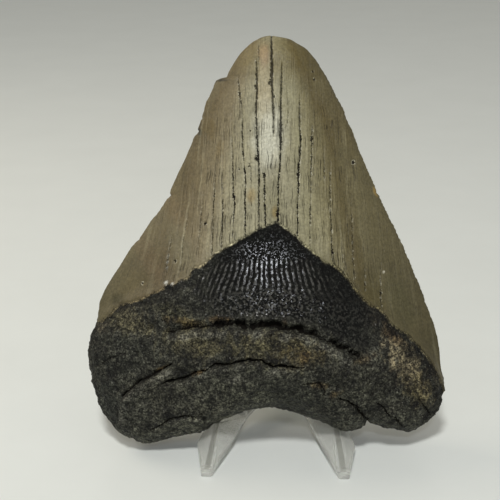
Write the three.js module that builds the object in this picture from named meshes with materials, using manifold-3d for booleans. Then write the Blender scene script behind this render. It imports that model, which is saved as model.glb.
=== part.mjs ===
// A large fossil shark tooth that leans back on a clear moulded tripod stand.
// Millimetres, +Z up, +X to the right of a viewer who faces the tooth and looks along +Y.

import * as THREE from 'three';
import { ConvexGeometry } from 'three/addons/geometries/ConvexGeometry.js';
import { mergeVertices } from 'three/addons/utils/BufferGeometryUtils.js';
import Module from 'manifold-3d';

const wasm = await Module();
wasm.setup();

// Pose of the tooth
const LEAN = THREE.MathUtils.degToRad(20);
const TOOTH_LIFT = 3.0;

// Outline of the tooth in its own plane: [across, up] from the middle of the root's arch line
const LEFT_SIDE = [
  [-51.7, 8.0], [-54.4, 14.4], [-56.6, 24.0], [-57.1, 28.5], [-56.5, 34.0], [-54.6, 38.4], [-54.0, 41.6],
  [-52.0, 48.0], [-44.0, 60.8], [-39.2, 67.2], [-32.4, 77.0], [-28.0, 86.4], [-22.4, 99.6], [-19.2, 108.8],
  [-15.6, 115.4], [-12.1, 117.4], [-9.8, 121.6], [-7.4, 124.9],
];
const TIP = [[-7.4, 124.9], [-4.6, 127.1], [-1.4, 128.6], [1.8, 129.0], [7.2, 128.0], [10.6, 126.4], [13.0, 124.9]];
const RIGHT_SIDE = [
  [54.2, 8.0], [56.4, 12.5], [57.2, 17.0], [56.0, 24.0], [55.5, 30.4], [53.0, 39.0], [48.5, 51.2],
  [43.0, 64.0], [37.0, 76.8], [31.2, 89.6], [24.8, 105.6], [18.1, 118.4], [13.0, 124.9],
];
const ROOT_BOTTOM = [
  [-51.7, 8.0], [-47.2, 3.0], [-41.5, 0.2], [-37.0, -0.5], [-30.2, 0.5], [-20.3, 3.3], [-14.2, 6.6],
  [-7.5, 9.2], [-1.4, 10.8], [4.3, 10.3], [11.0, 8.6], [17.8, 6.1], [22.6, 4.0], [27.5, 3.7], [32.7, 5.8],
  [38.2, 4.0], [44.6, 3.3], [50.0, 5.2], [54.2, 8.0],
];

// Where the smooth crown ends above the dark chevron and the root
const CROWN_END = [
  [-58, 37], [-50.4, 40.3], [-39.5, 45.4], [-29.6, 49.3], [-20.2, 56.3], [-6.2, 65.8], [2.5, 69.5],
  [9.8, 65.4], [18.7, 57.1], [27.4, 50.1], [36.3, 42.1], [44.5, 34.2], [52.5, 25.3], [58, 15],
];

// Depth of the front and of the back face on the tooth's middle line: [up, front, back]
const MIDDLE_DEPTHS = [
  [-1, 12.0, 7.5], [8, 14.0, 8.0], [18, 16.5, 8.2], [28, 17.6, 7.6], [38, 16.0, 6.4], [48, 14.4, 5.4],
  [60, 12.8, 4.8], [80, 10.8, 4.2], [100, 8.4, 3.6], [118, 6.2, 2.8], [129, 4.6, 2.2],
];
const LOBE_FRONT = 12.5;
const BULGE_WIDTH = 30;
const ROOT_ROUNDING = 13;
const TIP_ROUNDING = 9;

// The root swells out below its main crack, which leaves a ledge
const LEDGE = 1.6;
const MAIN_CRACK = [
  [-32, 36.2], [-23, 38.0], [-13, 38.4], [-3.5, 38.3], [6.2, 37.2], [15.4, 35.6], [20.6, 32.8], [28, 28.6],
];

// Open cracks: a width and a depth, and a path on the front face
const ROOT_CRACKS = [
  { width: 1.8, depth: 3.2, path: MAIN_CRACK },
  { width: 1.3, depth: 2.2, path: [[-31, 19.4], [-19, 23.5], [-6, 26.6], [1.5, 24.6], [11.5, 24]] },
  { width: 1.2, depth: 2.0, path: [[-43.5, 17], [-37, 20.6], [-31.5, 24.6]] },
  { width: 0.9, depth: 1.6, path: [[-35.5, 4.6], [-30, 7], [-19.5, 9.4]] },
  { width: 1.4, depth: 2.6, path: [[28, 12], [30.6, 8.8], [32.5, 5.4]] },
  { width: 0.9, depth: 1.5, path: [[38.8, 8.8], [43, 4.8]] },
];
const CROWN_CRACKS = [
  { width: 0.9, depth: 1.2, path: [[1.8, 127.4], [2.0, 110], [2.2, 96.5]] },
  { width: 0.9, depth: 1.3, path: [[4.8, 118.5], [4.5, 106], [4.5, 90], [3.6, 71]] },
  { width: 0.7, depth: 1.1, path: [[-3.2, 121], [-3, 93], [-2.2, 83], [-0.6, 71]] },
  { width: 0.6, depth: 0.9, path: [[-9, 116], [-7.6, 105], [-7.4, 92], [-6.6, 69]] },
  { width: 0.6, depth: 0.8, path: [[10.6, 111], [10.2, 87], [9.8, 67]] },
  { width: 0.6, depth: 0.8, path: [[14.4, 101], [14, 82], [13.8, 65]] },
];

// Chips knocked out of the edge: the corners of each bite, [across, up]
const CHIPS = [
  [[-17, 122], [-12.1, 118.6], [-12.6, 116.2], [-15.8, 115.7], [-18, 116]],
  [[-36, 78.4], [-31, 80], [-31.2, 77.6], [-34, 76.6]],
  [[31.6, 3], [32.7, 6.8], [34.2, 3]],
  [[59, 14.8], [56.2, 14.6], [56.6, 12.6], [59, 11]],
];
const CHIP_REACH = 12;

const COLUMNS = 40;
const ROWS = 42;

// The stand: right-hand points, [across, back, up], mirrored for the left arm
const STAND_PLACE = new THREE.Vector3(2.55, -14.8, 0);
const STAND_TURN = THREE.MathUtils.degToRad(-2);
const PLATE = 1.8;
const PAD_DEPTH = 3;
const TOE_INNER = [19.5, -3.8, PLATE];
const TOE_OUTER = [22.8, -3.8, PLATE];
const TOE_CREST_INNER = [20.2, -3.8, PLATE + 0.7];
const TOE_CREST_OUTER = [21.8, -3.8, PLATE + 0.7];
const TOE_PAD = [TOE_INNER, TOE_OUTER, [23.0, -0.3, 2.2], [18.6, -0.3, 2.2]];
const KNEE_INNER = [18.2, 20, 7.0];
const KNEE_OUTER = [19.9, 19.8, 6.7];
const WING_TIP = [25.0, 11.4, 3.4];
const WING_BACK = [22.2, 23.5, 5.0];
const INNER_EDGE = [9.3, 27.5, 5.6];
const ARM_BACK = [15.5, 32, 8.4];
const HUB_FRONT = [0, 40, 11.0];
const HUB_BACK = [0, 50, 12.5];
const HUB_SIDE = [5.5, 47, 11.2];
const PRONG_FOOT_GAP = 10.5;
const PRONG_FOOT_WIDTH = 8;
const PRONG_TOP_GAP = 6.5;
const PRONG_TOP_WIDTH = 6;
const PRONG_BASE = 6.5;
const PRONG_HEIGHT = 41;
const PRONG_THICKNESS = 2.2;
const REAR_TOE = [7, 83.8, PLATE];
const REAR_RIDGE = [0, 83.8, PLATE + 0.5];
const REAR_PAD = [[7, 80.3, 2.4], [7, 83.8, PLATE], [-7, 83.8, PLATE], [-7, 80.3, 2.4]];
const CLEARANCE = 1.1;

const TOOTH_FINISH = { color: 0x6a6350, roughness: 0.55, metalness: 0 };
const STAND_FINISH = { color: 0xe9efee, roughness: 0.06, metalness: 0, transparent: true, opacity: 0.35 };

const toVectors = (points) => points.map(([x, y]) => new THREE.Vector2(x, y));
const spline = (points, steps) => new THREE.SplineCurve(toVectors(points)).getPoints(steps);

// The value that a table of [key, value] pairs in rising key order gives at a key
function lookUp(table, key) {
  const last = table.length - 1;
  if (key <= table[0][0]) return table[0][1];
  if (key >= table[last][0]) return table[last][1];
  const i = table.findIndex(([k]) => k >= key);
  const [k0, v0] = table[i - 1];
  const [k1, v1] = table[i];
  return v0 + ((v1 - v0) * (key - k0)) / (k1 - k0);
}

const byHeight = (points) => points.map((p) => [p.y, p.x]).sort((a, b) => a[0] - b[0]);
const byWidth = (points) => points.map((p) => [p.x, p.y]).sort((a, b) => a[0] - b[0]);

const tipCurve = spline(TIP, 120);
const tipPeak = TIP[3][0];
const leftCurve = byHeight([...spline(LEFT_SIDE, 400), ...tipCurve.filter((p) => p.x <= tipPeak)]);
const rightCurve = byHeight([...spline(RIGHT_SIDE, 400), ...tipCurve.filter((p) => p.x >= tipPeak)]);
const bottomCurve = byWidth(spline(ROOT_BOTTOM, 400));
const frontDepths = byHeight(spline(MIDDLE_DEPTHS.map(([up, front]) => [front, up]), 200));
const backDepths = byHeight(spline(MIDDLE_DEPTHS.map(([up, , back]) => [back, up]), 200));
const crownEnd = byWidth(spline(CROWN_END, 200));

// How far a point is into the root: 0 on the crown, 1 on the root
const rootShare = (x, up) => THREE.MathUtils.smoothstep(lookUp(crownEnd, x) - up, -5, 8);

// A factor that falls to 0 at the outline: thin along the crown's edges, round along the root's
function edgeFactor(x, up, crownPower) {
  const left = lookUp(leftCurve, up);
  const right = lookUp(rightCurve, up);
  const across = Math.min(1, Math.abs((2 * x - left - right) / Math.max(right - left, 0.01)));
  const crown = (1 - across ** 2) ** crownPower;
  const root = Math.sqrt(1 - across ** 3.4);
  const fromBottom = Math.min(1, Math.max(0, (up - lookUp(bottomCurve, x)) / ROOT_ROUNDING));
  const fromTip = Math.min(1, Math.max(0, (TIP[3][1] - up) / TIP_ROUNDING));
  const bottom = (1 - (1 - fromBottom) ** 2.4) ** 0.5;
  const tip = (1 - (1 - fromTip) ** 2) ** 0.5;
  return THREE.MathUtils.lerp(crown, root, rootShare(x, up)) * bottom * tip;
}

function frontDepth(x, up) {
  const middle = lookUp(frontDepths, up);
  const lobe = Math.min(middle, LOBE_FRONT);
  const bulge = Math.exp(-((x / BULGE_WIDTH) ** 2));
  const thick = THREE.MathUtils.lerp(middle, lobe + (middle - lobe) * bulge, rootShare(x, up));
  const alongCrack = THREE.MathUtils.smoothstep(x, -40, -28) * (1 - THREE.MathUtils.smoothstep(x, 26, 38));
  const belowCrack = THREE.MathUtils.smoothstep(lookUp(MAIN_CRACK, x) - up, -0.5, 2.5);
  const fade = 1 - THREE.MathUtils.smoothstep(lookUp(MAIN_CRACK, x) - up, 8, 20);
  const ledge = LEDGE * alongCrack * (belowCrack * fade - 0.5 * (1 - belowCrack) * rootShare(x, up));
  return thick * edgeFactor(x, up, 1.2) + ledge;
}

const backDepth = (x, up) => -lookUp(backDepths, up) * edgeFactor(x, up, 0.9);

// From the tooth's plane to the upright frame: depth is towards the viewer
function lean(x, up, depth) {
  const y = up * Math.sin(LEAN) - depth * Math.cos(LEAN);
  const z = TOOTH_LIFT + up * Math.cos(LEAN) + depth * Math.sin(LEAN);
  return new THREE.Vector3(x, y, z);
}

function toSolid(geometry) {
  const bare = geometry.clone();
  bare.deleteAttribute('normal');
  bare.deleteAttribute('uv');
  const merged = mergeVertices(bare, 1e-4);
  const vertProperties = new Float32Array(merged.attributes.position.array);
  const triVerts = new Uint32Array(merged.index.array);
  return new wasm.Manifold(new wasm.Mesh({ numProp: 3, vertProperties, triVerts }));
}

function toGeometry(solid) {
  const { numProp, vertProperties, triVerts } = solid.getMesh();
  const positions = new Float32Array((vertProperties.length / numProp) * 3);
  for (let i = 0; i < positions.length / 3; i++) {
    positions.set(vertProperties.subarray(i * numProp, i * numProp + 3), i * 3);
  }
  const geometry = new THREE.BufferGeometry();
  geometry.setAttribute('position', new THREE.BufferAttribute(positions, 3));
  geometry.setIndex(new THREE.BufferAttribute(new Uint32Array(triVerts), 1));
  geometry.computeVertexNormals();
  return geometry;
}

function indexedGeometry(points, triangles) {
  const geometry = new THREE.BufferGeometry().setFromPoints(points);
  geometry.setIndex(triangles.flat());
  return geometry;
}

// The grid of plane points between the two sides, the bottom and the tip (a Coons patch)
function outlineGrid() {
  const bottom = new THREE.SplineCurve(toVectors(ROOT_BOTTOM)).getSpacedPoints(COLUMNS);
  const top = new THREE.SplineCurve(toVectors(TIP)).getSpacedPoints(COLUMNS);
  const grid = [];
  for (let j = 0; j <= ROWS; j++) {
    const t = j / ROWS;
    const up = THREE.MathUtils.lerp(LEFT_SIDE[0][1], TIP[0][1], t);
    const left = new THREE.Vector2(lookUp(leftCurve, up), up);
    const right = new THREE.Vector2(lookUp(rightCurve, up), up);
    for (let i = 0; i <= COLUMNS; i++) {
      const s = i / COLUMNS;
      const between = bottom[i].clone().lerp(top[i], t);
      const bottomLine = bottom[0].clone().lerp(bottom[COLUMNS], s);
      const topLine = top[0].clone().lerp(top[COLUMNS], s);
      const sides = left.clone().lerp(right, s);
      grid.push(between.add(sides).sub(bottomLine.lerp(topLine, t)));
    }
  }
  return grid;
}

// Front and back sheets over one grid, sharing the points of its rim
function toothBlank() {
  const grid = outlineGrid();
  const isRim = (i, j) => i === 0 || j === 0 || i === COLUMNS || j === ROWS;
  const points = [];
  const front = [];
  const back = [];
  grid.forEach(({ x, y: up }, k) => {
    const rim = isRim(k % (COLUMNS + 1), Math.floor(k / (COLUMNS + 1)));
    front[k] = points.push(lean(x, up, rim ? 0 : frontDepth(x, up))) - 1;
    back[k] = rim ? front[k] : points.push(lean(x, up, backDepth(x, up))) - 1;
  });
  const triangles = [];
  for (let j = 0; j < ROWS; j++) {
    for (let i = 0; i < COLUMNS; i++) {
      const a = j * (COLUMNS + 1) + i;
      const [b, c, d] = [a + 1, a + COLUMNS + 2, a + COLUMNS + 1];
      const rising = i < COLUMNS / 2 === j < ROWS / 2;
      const pair = rising ? [[a, b, c], [a, c, d]] : [[a, b, d], [b, c, d]];
      for (const [p, q, r] of pair) {
        triangles.push([front[p], front[q], front[r]], [back[p], back[r], back[q]]);
      }
    }
  }
  return toSolid(indexedGeometry(points, triangles));
}

// A V-shaped blade along a path on the front face, pointed at both ends
function crackBlade({ width, depth, path }) {
  const above = 1.5;
  const points = [];
  path.forEach(([x, up], i) => {
    const [x0, up0] = path[Math.max(i - 1, 0)];
    const [x1, up1] = path[Math.min(i + 1, path.length - 1)];
    const along = new THREE.Vector2(x1 - x0, up1 - up0).normalize();
    const isEnd = i === 0 || i === path.length - 1;
    const share = isEnd ? 0.3 : 1;
    const half = (share * width * (depth + above)) / (2 * depth);
    const surface = frontDepth(x, up);
    points.push(lean(x - along.y * half, up + along.x * half, surface + above));
    points.push(lean(x + along.y * half, up - along.x * half, surface + above));
    points.push(lean(x, up, surface - share * depth));
  });
  const triangles = [[0, 2, 1]];
  for (let i = 0; i < path.length - 1; i++) {
    for (let side = 0; side < 3; side++) {
      const a = 3 * i + side;
      const b = 3 * i + ((side + 1) % 3);
      triangles.push([a, b, a + 3], [b, b + 3, a + 3]);
    }
  }
  const last = 3 * (path.length - 1);
  triangles.push([last, last + 1, last + 2]);
  return toSolid(indexedGeometry(points, triangles));
}

function chipBite(corners) {
  const ends = corners.flatMap(([x, up]) => [lean(x, up, CHIP_REACH), lean(x, up, -CHIP_REACH)]);
  return toSolid(new ConvexGeometry(ends));
}

function makeTooth() {
  let solid = toothBlank();
  for (const crack of [...ROOT_CRACKS, ...CROWN_CRACKS]) solid = solid.subtract(crackBlade(crack));
  for (const corners of CHIPS) solid = solid.subtract(chipBite(corners));
  return toGeometry(solid);
}

// A plate whose top passes through the given points
function plate(points, thickness = PLATE) {
  const top = points.map(([x, y, z]) => new THREE.Vector3(x, y, z));
  const underside = top.map((p) => new THREE.Vector3(p.x, p.y, Math.max(0, p.z - thickness)));
  return toSolid(new ConvexGeometry([...top, ...underside]));
}

const mirror = ([x, y, z]) => [-x, y, z];

// One front arm: an outer and an inner wing that slope down from a flat crest
function armPlates() {
  return [
    [TOE_CREST_INNER, TOE_CREST_OUTER, KNEE_OUTER, KNEE_INNER],
    [TOE_OUTER, TOE_CREST_OUTER, KNEE_OUTER, WING_TIP],
    [WING_TIP, KNEE_OUTER, WING_BACK],
    [WING_BACK, KNEE_OUTER, ARM_BACK],
    [TOE_INNER, TOE_CREST_INNER, KNEE_INNER, INNER_EDGE],
    [INNER_EDGE, KNEE_INNER, KNEE_OUTER, ARM_BACK],
    [INNER_EDGE, ARM_BACK, HUB_SIDE, HUB_FRONT],
  ];
}

// A prong that leans back with the tooth, from the arm's ridge up behind the root
function prong(side) {
  const reach = lookUp(MIDDLE_DEPTHS.map(([up, , back]) => [up, back]), 18) + CLEARANCE;
  const corners = [
    [PRONG_FOOT_GAP, PRONG_BASE], [PRONG_FOOT_GAP + PRONG_FOOT_WIDTH, PRONG_BASE],
    [PRONG_TOP_GAP + PRONG_TOP_WIDTH, PRONG_BASE + PRONG_HEIGHT - 2],
    [PRONG_TOP_GAP + PRONG_TOP_WIDTH / 2, PRONG_BASE + PRONG_HEIGHT],
    [PRONG_TOP_GAP, PRONG_BASE + PRONG_HEIGHT - 2],
  ];
  const ends = corners.flatMap(([x, up]) => [
    lean(side * x, up, -reach).sub(STAND_PLACE).setX(side * x),
    lean(side * x, up, -reach - PRONG_THICKNESS).sub(STAND_PLACE).setX(side * x),
  ]);
  return toSolid(new ConvexGeometry(ends));
}

function makeStand() {
  let solid = plate([mirror(HUB_SIDE), HUB_FRONT, HUB_SIDE, HUB_BACK]);
  for (const points of [...armPlates(), [HUB_SIDE, HUB_BACK, REAR_RIDGE, REAR_TOE]]) {
    solid = solid.add(plate(points)).add(plate(points.map(mirror)));
  }
  for (const points of [TOE_PAD, TOE_PAD.map(mirror), REAR_PAD]) {
    solid = solid.add(plate(points, PAD_DEPTH));
  }
  return toGeometry(solid.add(prong(-1)).add(prong(1)));
}

function named(name, geometry, finish) {
  const mesh = new THREE.Mesh(geometry, new THREE.MeshStandardMaterial(finish));
  mesh.name = name;
  return mesh;
}

const tooth = named('tooth', makeTooth(), TOOTH_FINISH);
const stand = named('stand', makeStand(), STAND_FINISH);
stand.position.copy(STAND_PLACE);
stand.rotation.z = STAND_TURN;

// The origin is under the middle of the whole object, on the surface that it stands on
const assembly = new THREE.Group();
assembly.add(tooth, stand);
const extent = new THREE.Box3().setFromObject(assembly, true);
const middle = extent.getCenter(new THREE.Vector3());
assembly.position.set(-middle.x, -middle.y, -extent.min.z);

const group = new THREE.Group();
group.add(assembly);

export default group;
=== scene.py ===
"""A large fossil shark tooth that leans back on a clear moulded tripod stand.

Sizes are millimetres in the tooth's own plane: across to the right, up towards the tip, and depth
towards the viewer who faces the convex side. Finished meshes are metres, in the shared frame.
"""

import logging
import math
from contextlib import contextmanager
from dataclasses import dataclass, field
from enum import Enum
from typing import Any, Iterator, Sequence

import bpy
import numpy as np
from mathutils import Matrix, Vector, noise


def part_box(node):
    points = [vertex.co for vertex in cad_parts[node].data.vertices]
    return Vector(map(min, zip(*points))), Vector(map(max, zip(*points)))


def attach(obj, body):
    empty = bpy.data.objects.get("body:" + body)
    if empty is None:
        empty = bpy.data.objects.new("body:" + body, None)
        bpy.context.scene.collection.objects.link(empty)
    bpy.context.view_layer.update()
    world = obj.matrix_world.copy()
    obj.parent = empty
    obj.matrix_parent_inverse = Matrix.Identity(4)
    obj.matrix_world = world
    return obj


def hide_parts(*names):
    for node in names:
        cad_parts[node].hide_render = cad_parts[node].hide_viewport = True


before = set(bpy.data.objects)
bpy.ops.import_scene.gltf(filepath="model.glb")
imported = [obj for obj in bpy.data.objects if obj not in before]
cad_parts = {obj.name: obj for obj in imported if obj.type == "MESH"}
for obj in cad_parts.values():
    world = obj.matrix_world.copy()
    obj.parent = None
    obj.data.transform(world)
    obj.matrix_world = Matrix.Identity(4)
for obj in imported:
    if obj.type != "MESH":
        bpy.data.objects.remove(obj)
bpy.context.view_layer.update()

log = logging.getLogger("fossil_tooth")

MM = 0.001
Path = Sequence[tuple[float, ...]]
Pair = tuple[float, float]
Range = tuple[float, float]
Wander = tuple[float, int]
Ease = tuple[float, float, float, float]
Strands = tuple[float, float, float, float]
Array = np.ndarray

# How finely smooth curves are sampled
TIP_SAMPLES = 120
TABLE_SAMPLES = 201
OUTLINE_SAMPLES = 401
LENGTH_SAMPLES = 1200
WANDER_STEPS = (-80, 400)
FAR = 1e6
THIN = 0.01
TINY = 1e-15
UNCRACKED = 9.0

# How each seed moves fractal noise, and how its finer layers fade and shrink
NOISE_SHIFT = (13.7, 5.1, 9.3)
NOISE_FADE = 0.9
NOISE_FINENESS = 2.1

# Where a stain, pit, lip, ledge or crack fades, as shares of its size or length
STAIN_BORDER = (0.35, 1.45)
STAIN_RAGGEDNESS = 0.35
PIT_FLATNESS = 0.8
PIT_OPEN = 0.75
LIP_ENDS = 0.12
STEP_ENDS = 0.1
CRACK_ENDS = 0.06

# The shared mottle
MOTTLE_DETAIL = 4.0
MOTTLE_ROUGHNESS = 0.62
MOTTLE_SWING = 4.0
MOTTLE_DARKEST = 0.08


class Side(Enum):
    """The face of the tooth that a sheet makes."""

    FRONT = "front"
    BACK = "back"


class Field(Enum):
    """The values that a mesh carries for its material."""

    TONE = "tone"
    GRAIN = "grain"
    ZONE = "zone"
    CRACK = "crack"
    WEAR = "wear"
    FACET = "facet"


# Curves and noise


def srgb(code: str) -> tuple[float, float, float, float]:
    """Turns a colour code into linear light.

    Args:
        code: Six hexadecimal digits, such as "a08c64".

    Returns:
        Linear red, green, blue and alpha.
    """
    shares = [int(code[i:i + 2], 16) / 255 for i in (0, 2, 4)]
    linear = [s / 12.92 if s <= 0.04045 else ((s + 0.055) / 1.055) ** 2.4 for s in shares]
    return (linear[0], linear[1], linear[2], 1.0)


def light_of(code: str) -> Array:
    """Gives a colour code's linear red, green and blue."""
    return np.array(srgb(code)[:3])


def lay_over(tone: Array, colour: Array, share: Array) -> Array:
    """Lays a colour, or rows of colours, over others by each place's share."""
    return tone + (colour - tone) * share[:, None]


def smoothstep(value: Array, low: float, high: float) -> Array:
    """Rises smoothly from 0 at low to 1 at high."""
    share = np.clip((value - low) / (high - low), 0, 1)
    return share * share * (3 - 2 * share)


def within(value: Array, rising: Range, falling: Range) -> Array:
    """Rises smoothly from 0 to 1 over one range and falls back to 0 over another."""
    return smoothstep(value, *rising) * (1 - smoothstep(value, *falling))


def catmull_rom(points: Path, count: int) -> Array:
    """Samples the smooth curve that passes through all the points.

    Args:
        points: The curve's points, in rows.
        count: How many samples to take.

    Returns:
        The samples, in rows.
    """
    rows = np.asarray(points, float)
    place = np.linspace(0, len(rows) - 1, count)
    start = np.minimum(place.astype(int), len(rows) - 2)
    share = (place - start)[:, None]
    here, there = rows[start], rows[start + 1]
    leaving = (there - rows[np.maximum(start - 1, 0)]) / 2
    arriving = (rows[np.minimum(start + 2, len(rows) - 1)] - here) / 2
    cubic = (2 * here - 2 * there + leaving + arriving) * share ** 3
    square = (3 * there - 3 * here - 2 * leaving - arriving) * share ** 2
    return cubic + square + leaving * share + here


def at_shares(points: Path, shares: Array) -> Array:
    """Finds the points at shares of a smooth curve's length.

    Args:
        points: The curve's points, in rows.
        shares: The shares of its length, 0 to 1.

    Returns:
        The points, in rows.
    """
    dense = catmull_rom(points, LENGTH_SAMPLES)
    lengths = np.concatenate(([0], np.cumsum(np.linalg.norm(np.diff(dense, axis=0), axis=1))))
    wanted = shares * lengths[-1]
    return np.column_stack([np.interp(wanted, lengths, column) for column in dense.T])


def look_up(table: Array, key: Array) -> Array:
    """Reads the second column of a table where its rising first column is the key."""
    return np.interp(key, table[:, 0], table[:, 1])


@dataclass(frozen=True)
class Layer:
    """A layer of seeded fractal noise, with the size of its largest lumps in millimetres."""

    pitch: float
    octaves: int
    seed: int
    stretch: tuple[float, float, float] = (1, 1, 1)

    def at(self, places: Array) -> Array:
        """Reads the noise.

        Args:
            places: Points in rows, in millimetres.

        Returns:
            One value for each point, from about -1 to 1.
        """
        moved = places * self.stretch / self.pitch + self.seed * np.array(NOISE_SHIFT)
        return np.array([noise.fractal(row, NOISE_FADE, NOISE_FINENESS, self.octaves)
                         for row in moved.tolist()])


def wobble(values: Array, pitch: float, seed: int) -> Array:
    """Wanders smoothly from side to side along a line.

    Args:
        values: Places along the line, in millimetres.
        pitch: The length of one turn of the wander.
        seed: Chooses the wander.

    Returns:
        One value for each place, from -1 to 1.
    """
    steps = np.arange(*WANDER_STEPS)
    heights = np.random.default_rng(seed).uniform(-1, 1, len(steps))
    place = values / pitch
    whole = np.floor(place)
    eased = whole + smoothstep(place - whole, 0, 1)
    return np.interp(eased, steps, heights)


@dataclass(frozen=True)
class Trace:
    """How far points lie from a path: along it, beside it, and the path's own width there."""

    distance: Array
    beside: Array
    along: Array
    width: Array

    def ends(self, share: float) -> Array:
        """Falls from 1 to 0 over a share of the path at both of its ends."""
        return within(self.along, (0, share), (1 - share, 1))


def trace(path: Path, across: Array, up: Array) -> Trace:
    """Measures points against a path of straight stretches.

    Args:
        path: Its points, as across, up and, where it has one, a width.
        across: The points' places to the right.
        up: The points' places towards the tip.

    Returns:
        The distance, the distance with a sign that is positive on the path's left, the share of
        the path's stretches passed, and the width.
    """
    nearest = np.full(across.shape, FAR)
    beside, along, width = nearest.copy(), np.zeros(across.shape), np.zeros(across.shape)
    for number, (start, end) in enumerate(zip(path, path[1:])):
        run = (end[0] - start[0], end[1] - start[1])
        length = math.hypot(*run)
        gone = (across - start[0], up - start[1])
        share = np.clip((gone[0] * run[0] + gone[1] * run[1]) / length ** 2, 0, 1)
        distance = np.hypot(gone[0] - share * run[0], gone[1] - share * run[1])
        sign = np.where(run[0] * gone[1] - run[1] * gone[0] >= 0, 1, -1)
        closer = distance < nearest
        nearest = np.where(closer, distance, nearest)
        beside = np.where(closer, distance * sign, beside)
        along = np.where(closer, (number + share) / (len(path) - 1), along)
        if len(start) > 2:
            width = np.where(closer, start[2] + share * (end[2] - start[2]), width)
    return Trace(nearest, beside, along, width)


# The tooth's form


@dataclass(frozen=True)
class ToothForm:
    """The tooth's outline, its depth and how it stands: the same law as the solid's."""

    lean: float = math.radians(20)
    lift: float = 3.0
    left_side: Path = (
        (-51.7, 8.0), (-54.4, 14.4), (-56.6, 24.0), (-57.1, 28.5), (-56.5, 34.0), (-54.6, 38.4),
        (-54.0, 41.6), (-52.0, 48.0), (-44.0, 60.8), (-39.2, 67.2), (-32.4, 77.0), (-28.0, 86.4),
        (-22.4, 99.6), (-19.2, 108.8), (-16.2, 115.0), (-13.4, 119.0), (-10.6, 122.2), (-7.4, 124.9),
    )
    tip: Path = (
        (-7.4, 124.9), (-4.6, 127.1), (-1.4, 128.6), (1.8, 129.0), (7.2, 128.0), (10.6, 126.4),
        (13.0, 124.9),
    )
    right_side: Path = (
        (54.2, 8.0), (56.4, 12.5), (57.2, 17.0), (56.0, 24.0), (55.5, 30.4), (53.0, 39.0),
        (48.5, 51.2), (43.0, 64.0), (37.0, 76.8), (31.2, 89.6), (24.8, 105.6), (18.1, 118.4),
        (13.0, 124.9),
    )
    root_bottom: Path = (
        (-51.7, 8.0), (-47.2, 3.0), (-41.5, 0.2), (-37.0, -0.5), (-30.2, 0.5), (-20.3, 3.3),
        (-14.2, 6.6), (-7.5, 9.2), (-1.4, 10.8), (4.3, 10.3), (11.0, 8.6), (17.8, 6.1), (22.6, 4.0),
        (27.5, 3.7), (32.7, 5.8), (38.2, 4.0), (44.6, 3.3), (50.0, 5.2), (54.2, 8.0),
    )
    crown_end: Path = (
        (-58, 37), (-50.4, 40.3), (-39.5, 45.4), (-29.6, 49.3), (-20.2, 56.3), (-6.2, 65.8),
        (2.5, 69.5), (9.8, 65.4), (18.7, 57.1), (27.4, 50.1), (36.3, 42.1), (44.5, 34.2),
        (52.5, 25.3), (58, 15),
    )
    middle_depths: Path = (
        (-1, 12.0, 7.5), (8, 14.0, 8.0), (18, 16.5, 8.2), (28, 17.6, 7.6), (38, 16.0, 6.4),
        (48, 14.4, 5.4), (60, 12.8, 4.8), (80, 10.8, 4.2), (100, 8.4, 3.6), (118, 6.2, 2.8),
        (129, 4.6, 2.2),
    )
    main_crack: Path = (
        (-32, 36.2), (-23, 38.0), (-13, 38.4), (-3.5, 38.3), (6.2, 37.2), (15.4, 35.6),
        (20.6, 32.8), (28, 28.6),
    )
    lobe_front: float = 12.5
    bulge_width: float = 30.0
    root_rounding: float = 13.0
    tip_rounding: float = 9.0
    ledge: float = 1.6
    ledge_dip: float = 0.5
    ledge_reach: tuple[Range, Range] = ((-40, -28), (26, 38))
    ledge_rise: Range = (-0.5, 2.5)
    ledge_fade: Range = (8, 20)
    root_start: Range = (-5, 8)
    front_edge_power: float = 1.2
    back_edge_power: float = 0.9
    root_edge_power: float = 3.4
    bottom_power: float = 2.4

    def __post_init__(self) -> None:
        """Works out the tables that the outline and the depth are read from."""
        tip = catmull_rom(self.tip, TIP_SAMPLES)
        peak = self.peak[0]

        def by_height(points: Path, keep: Array) -> Array:
            """Lists a side and its half of the tip by rising height."""
            rows = np.vstack((catmull_rom(points, OUTLINE_SAMPLES), tip[keep]))[:, ::-1]
            return rows[np.argsort(rows[:, 0], kind="stable")]

        depths = catmull_rom(self.middle_depths, TABLE_SAMPLES)
        ends = catmull_rom(self.crown_end, TABLE_SAMPLES)
        bottom = catmull_rom(self.root_bottom, OUTLINE_SAMPLES)
        tables = {
            "left_table": by_height(self.left_side, tip[:, 0] <= peak),
            "right_table": by_height(self.right_side, tip[:, 0] >= peak),
            "bottom_table": bottom[np.argsort(bottom[:, 0], kind="stable")],
            "crown_end_table": ends,
            "front_table": depths[:, :2],
            "back_table": depths[:, ::2],
            "main_crack_table": np.asarray(self.main_crack, float),
        }
        for name, table in tables.items():
            object.__setattr__(self, name, table)
        low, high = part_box("tooth")
        top = max((v.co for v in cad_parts["tooth"].data.vertices), key=lambda co: co.z)
        middle = (low.x + high.x) / 2 / MM - (min(self.left_side)[0] + max(self.right_side)[0]) / 2
        back = top.y / MM - (top.z / MM - self.lift) * math.tan(self.lean)
        object.__setattr__(self, "offset", (middle, back))

    @property
    def peak(self) -> tuple[float, ...]:
        """Gives the outline's highest point."""
        return max(self.tip, key=lambda point: point[1])

    def sides(self, up: Array) -> tuple[Array, Array]:
        """Gives where the outline's left and right sides are at a height."""
        return look_up(self.left_table, up), look_up(self.right_table, up)

    def root_share(self, across: Array, up: Array) -> Array:
        """Gives 0 on the crown and 1 on the root."""
        return smoothstep(look_up(self.crown_end_table, across) - up, *self.root_start)

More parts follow.
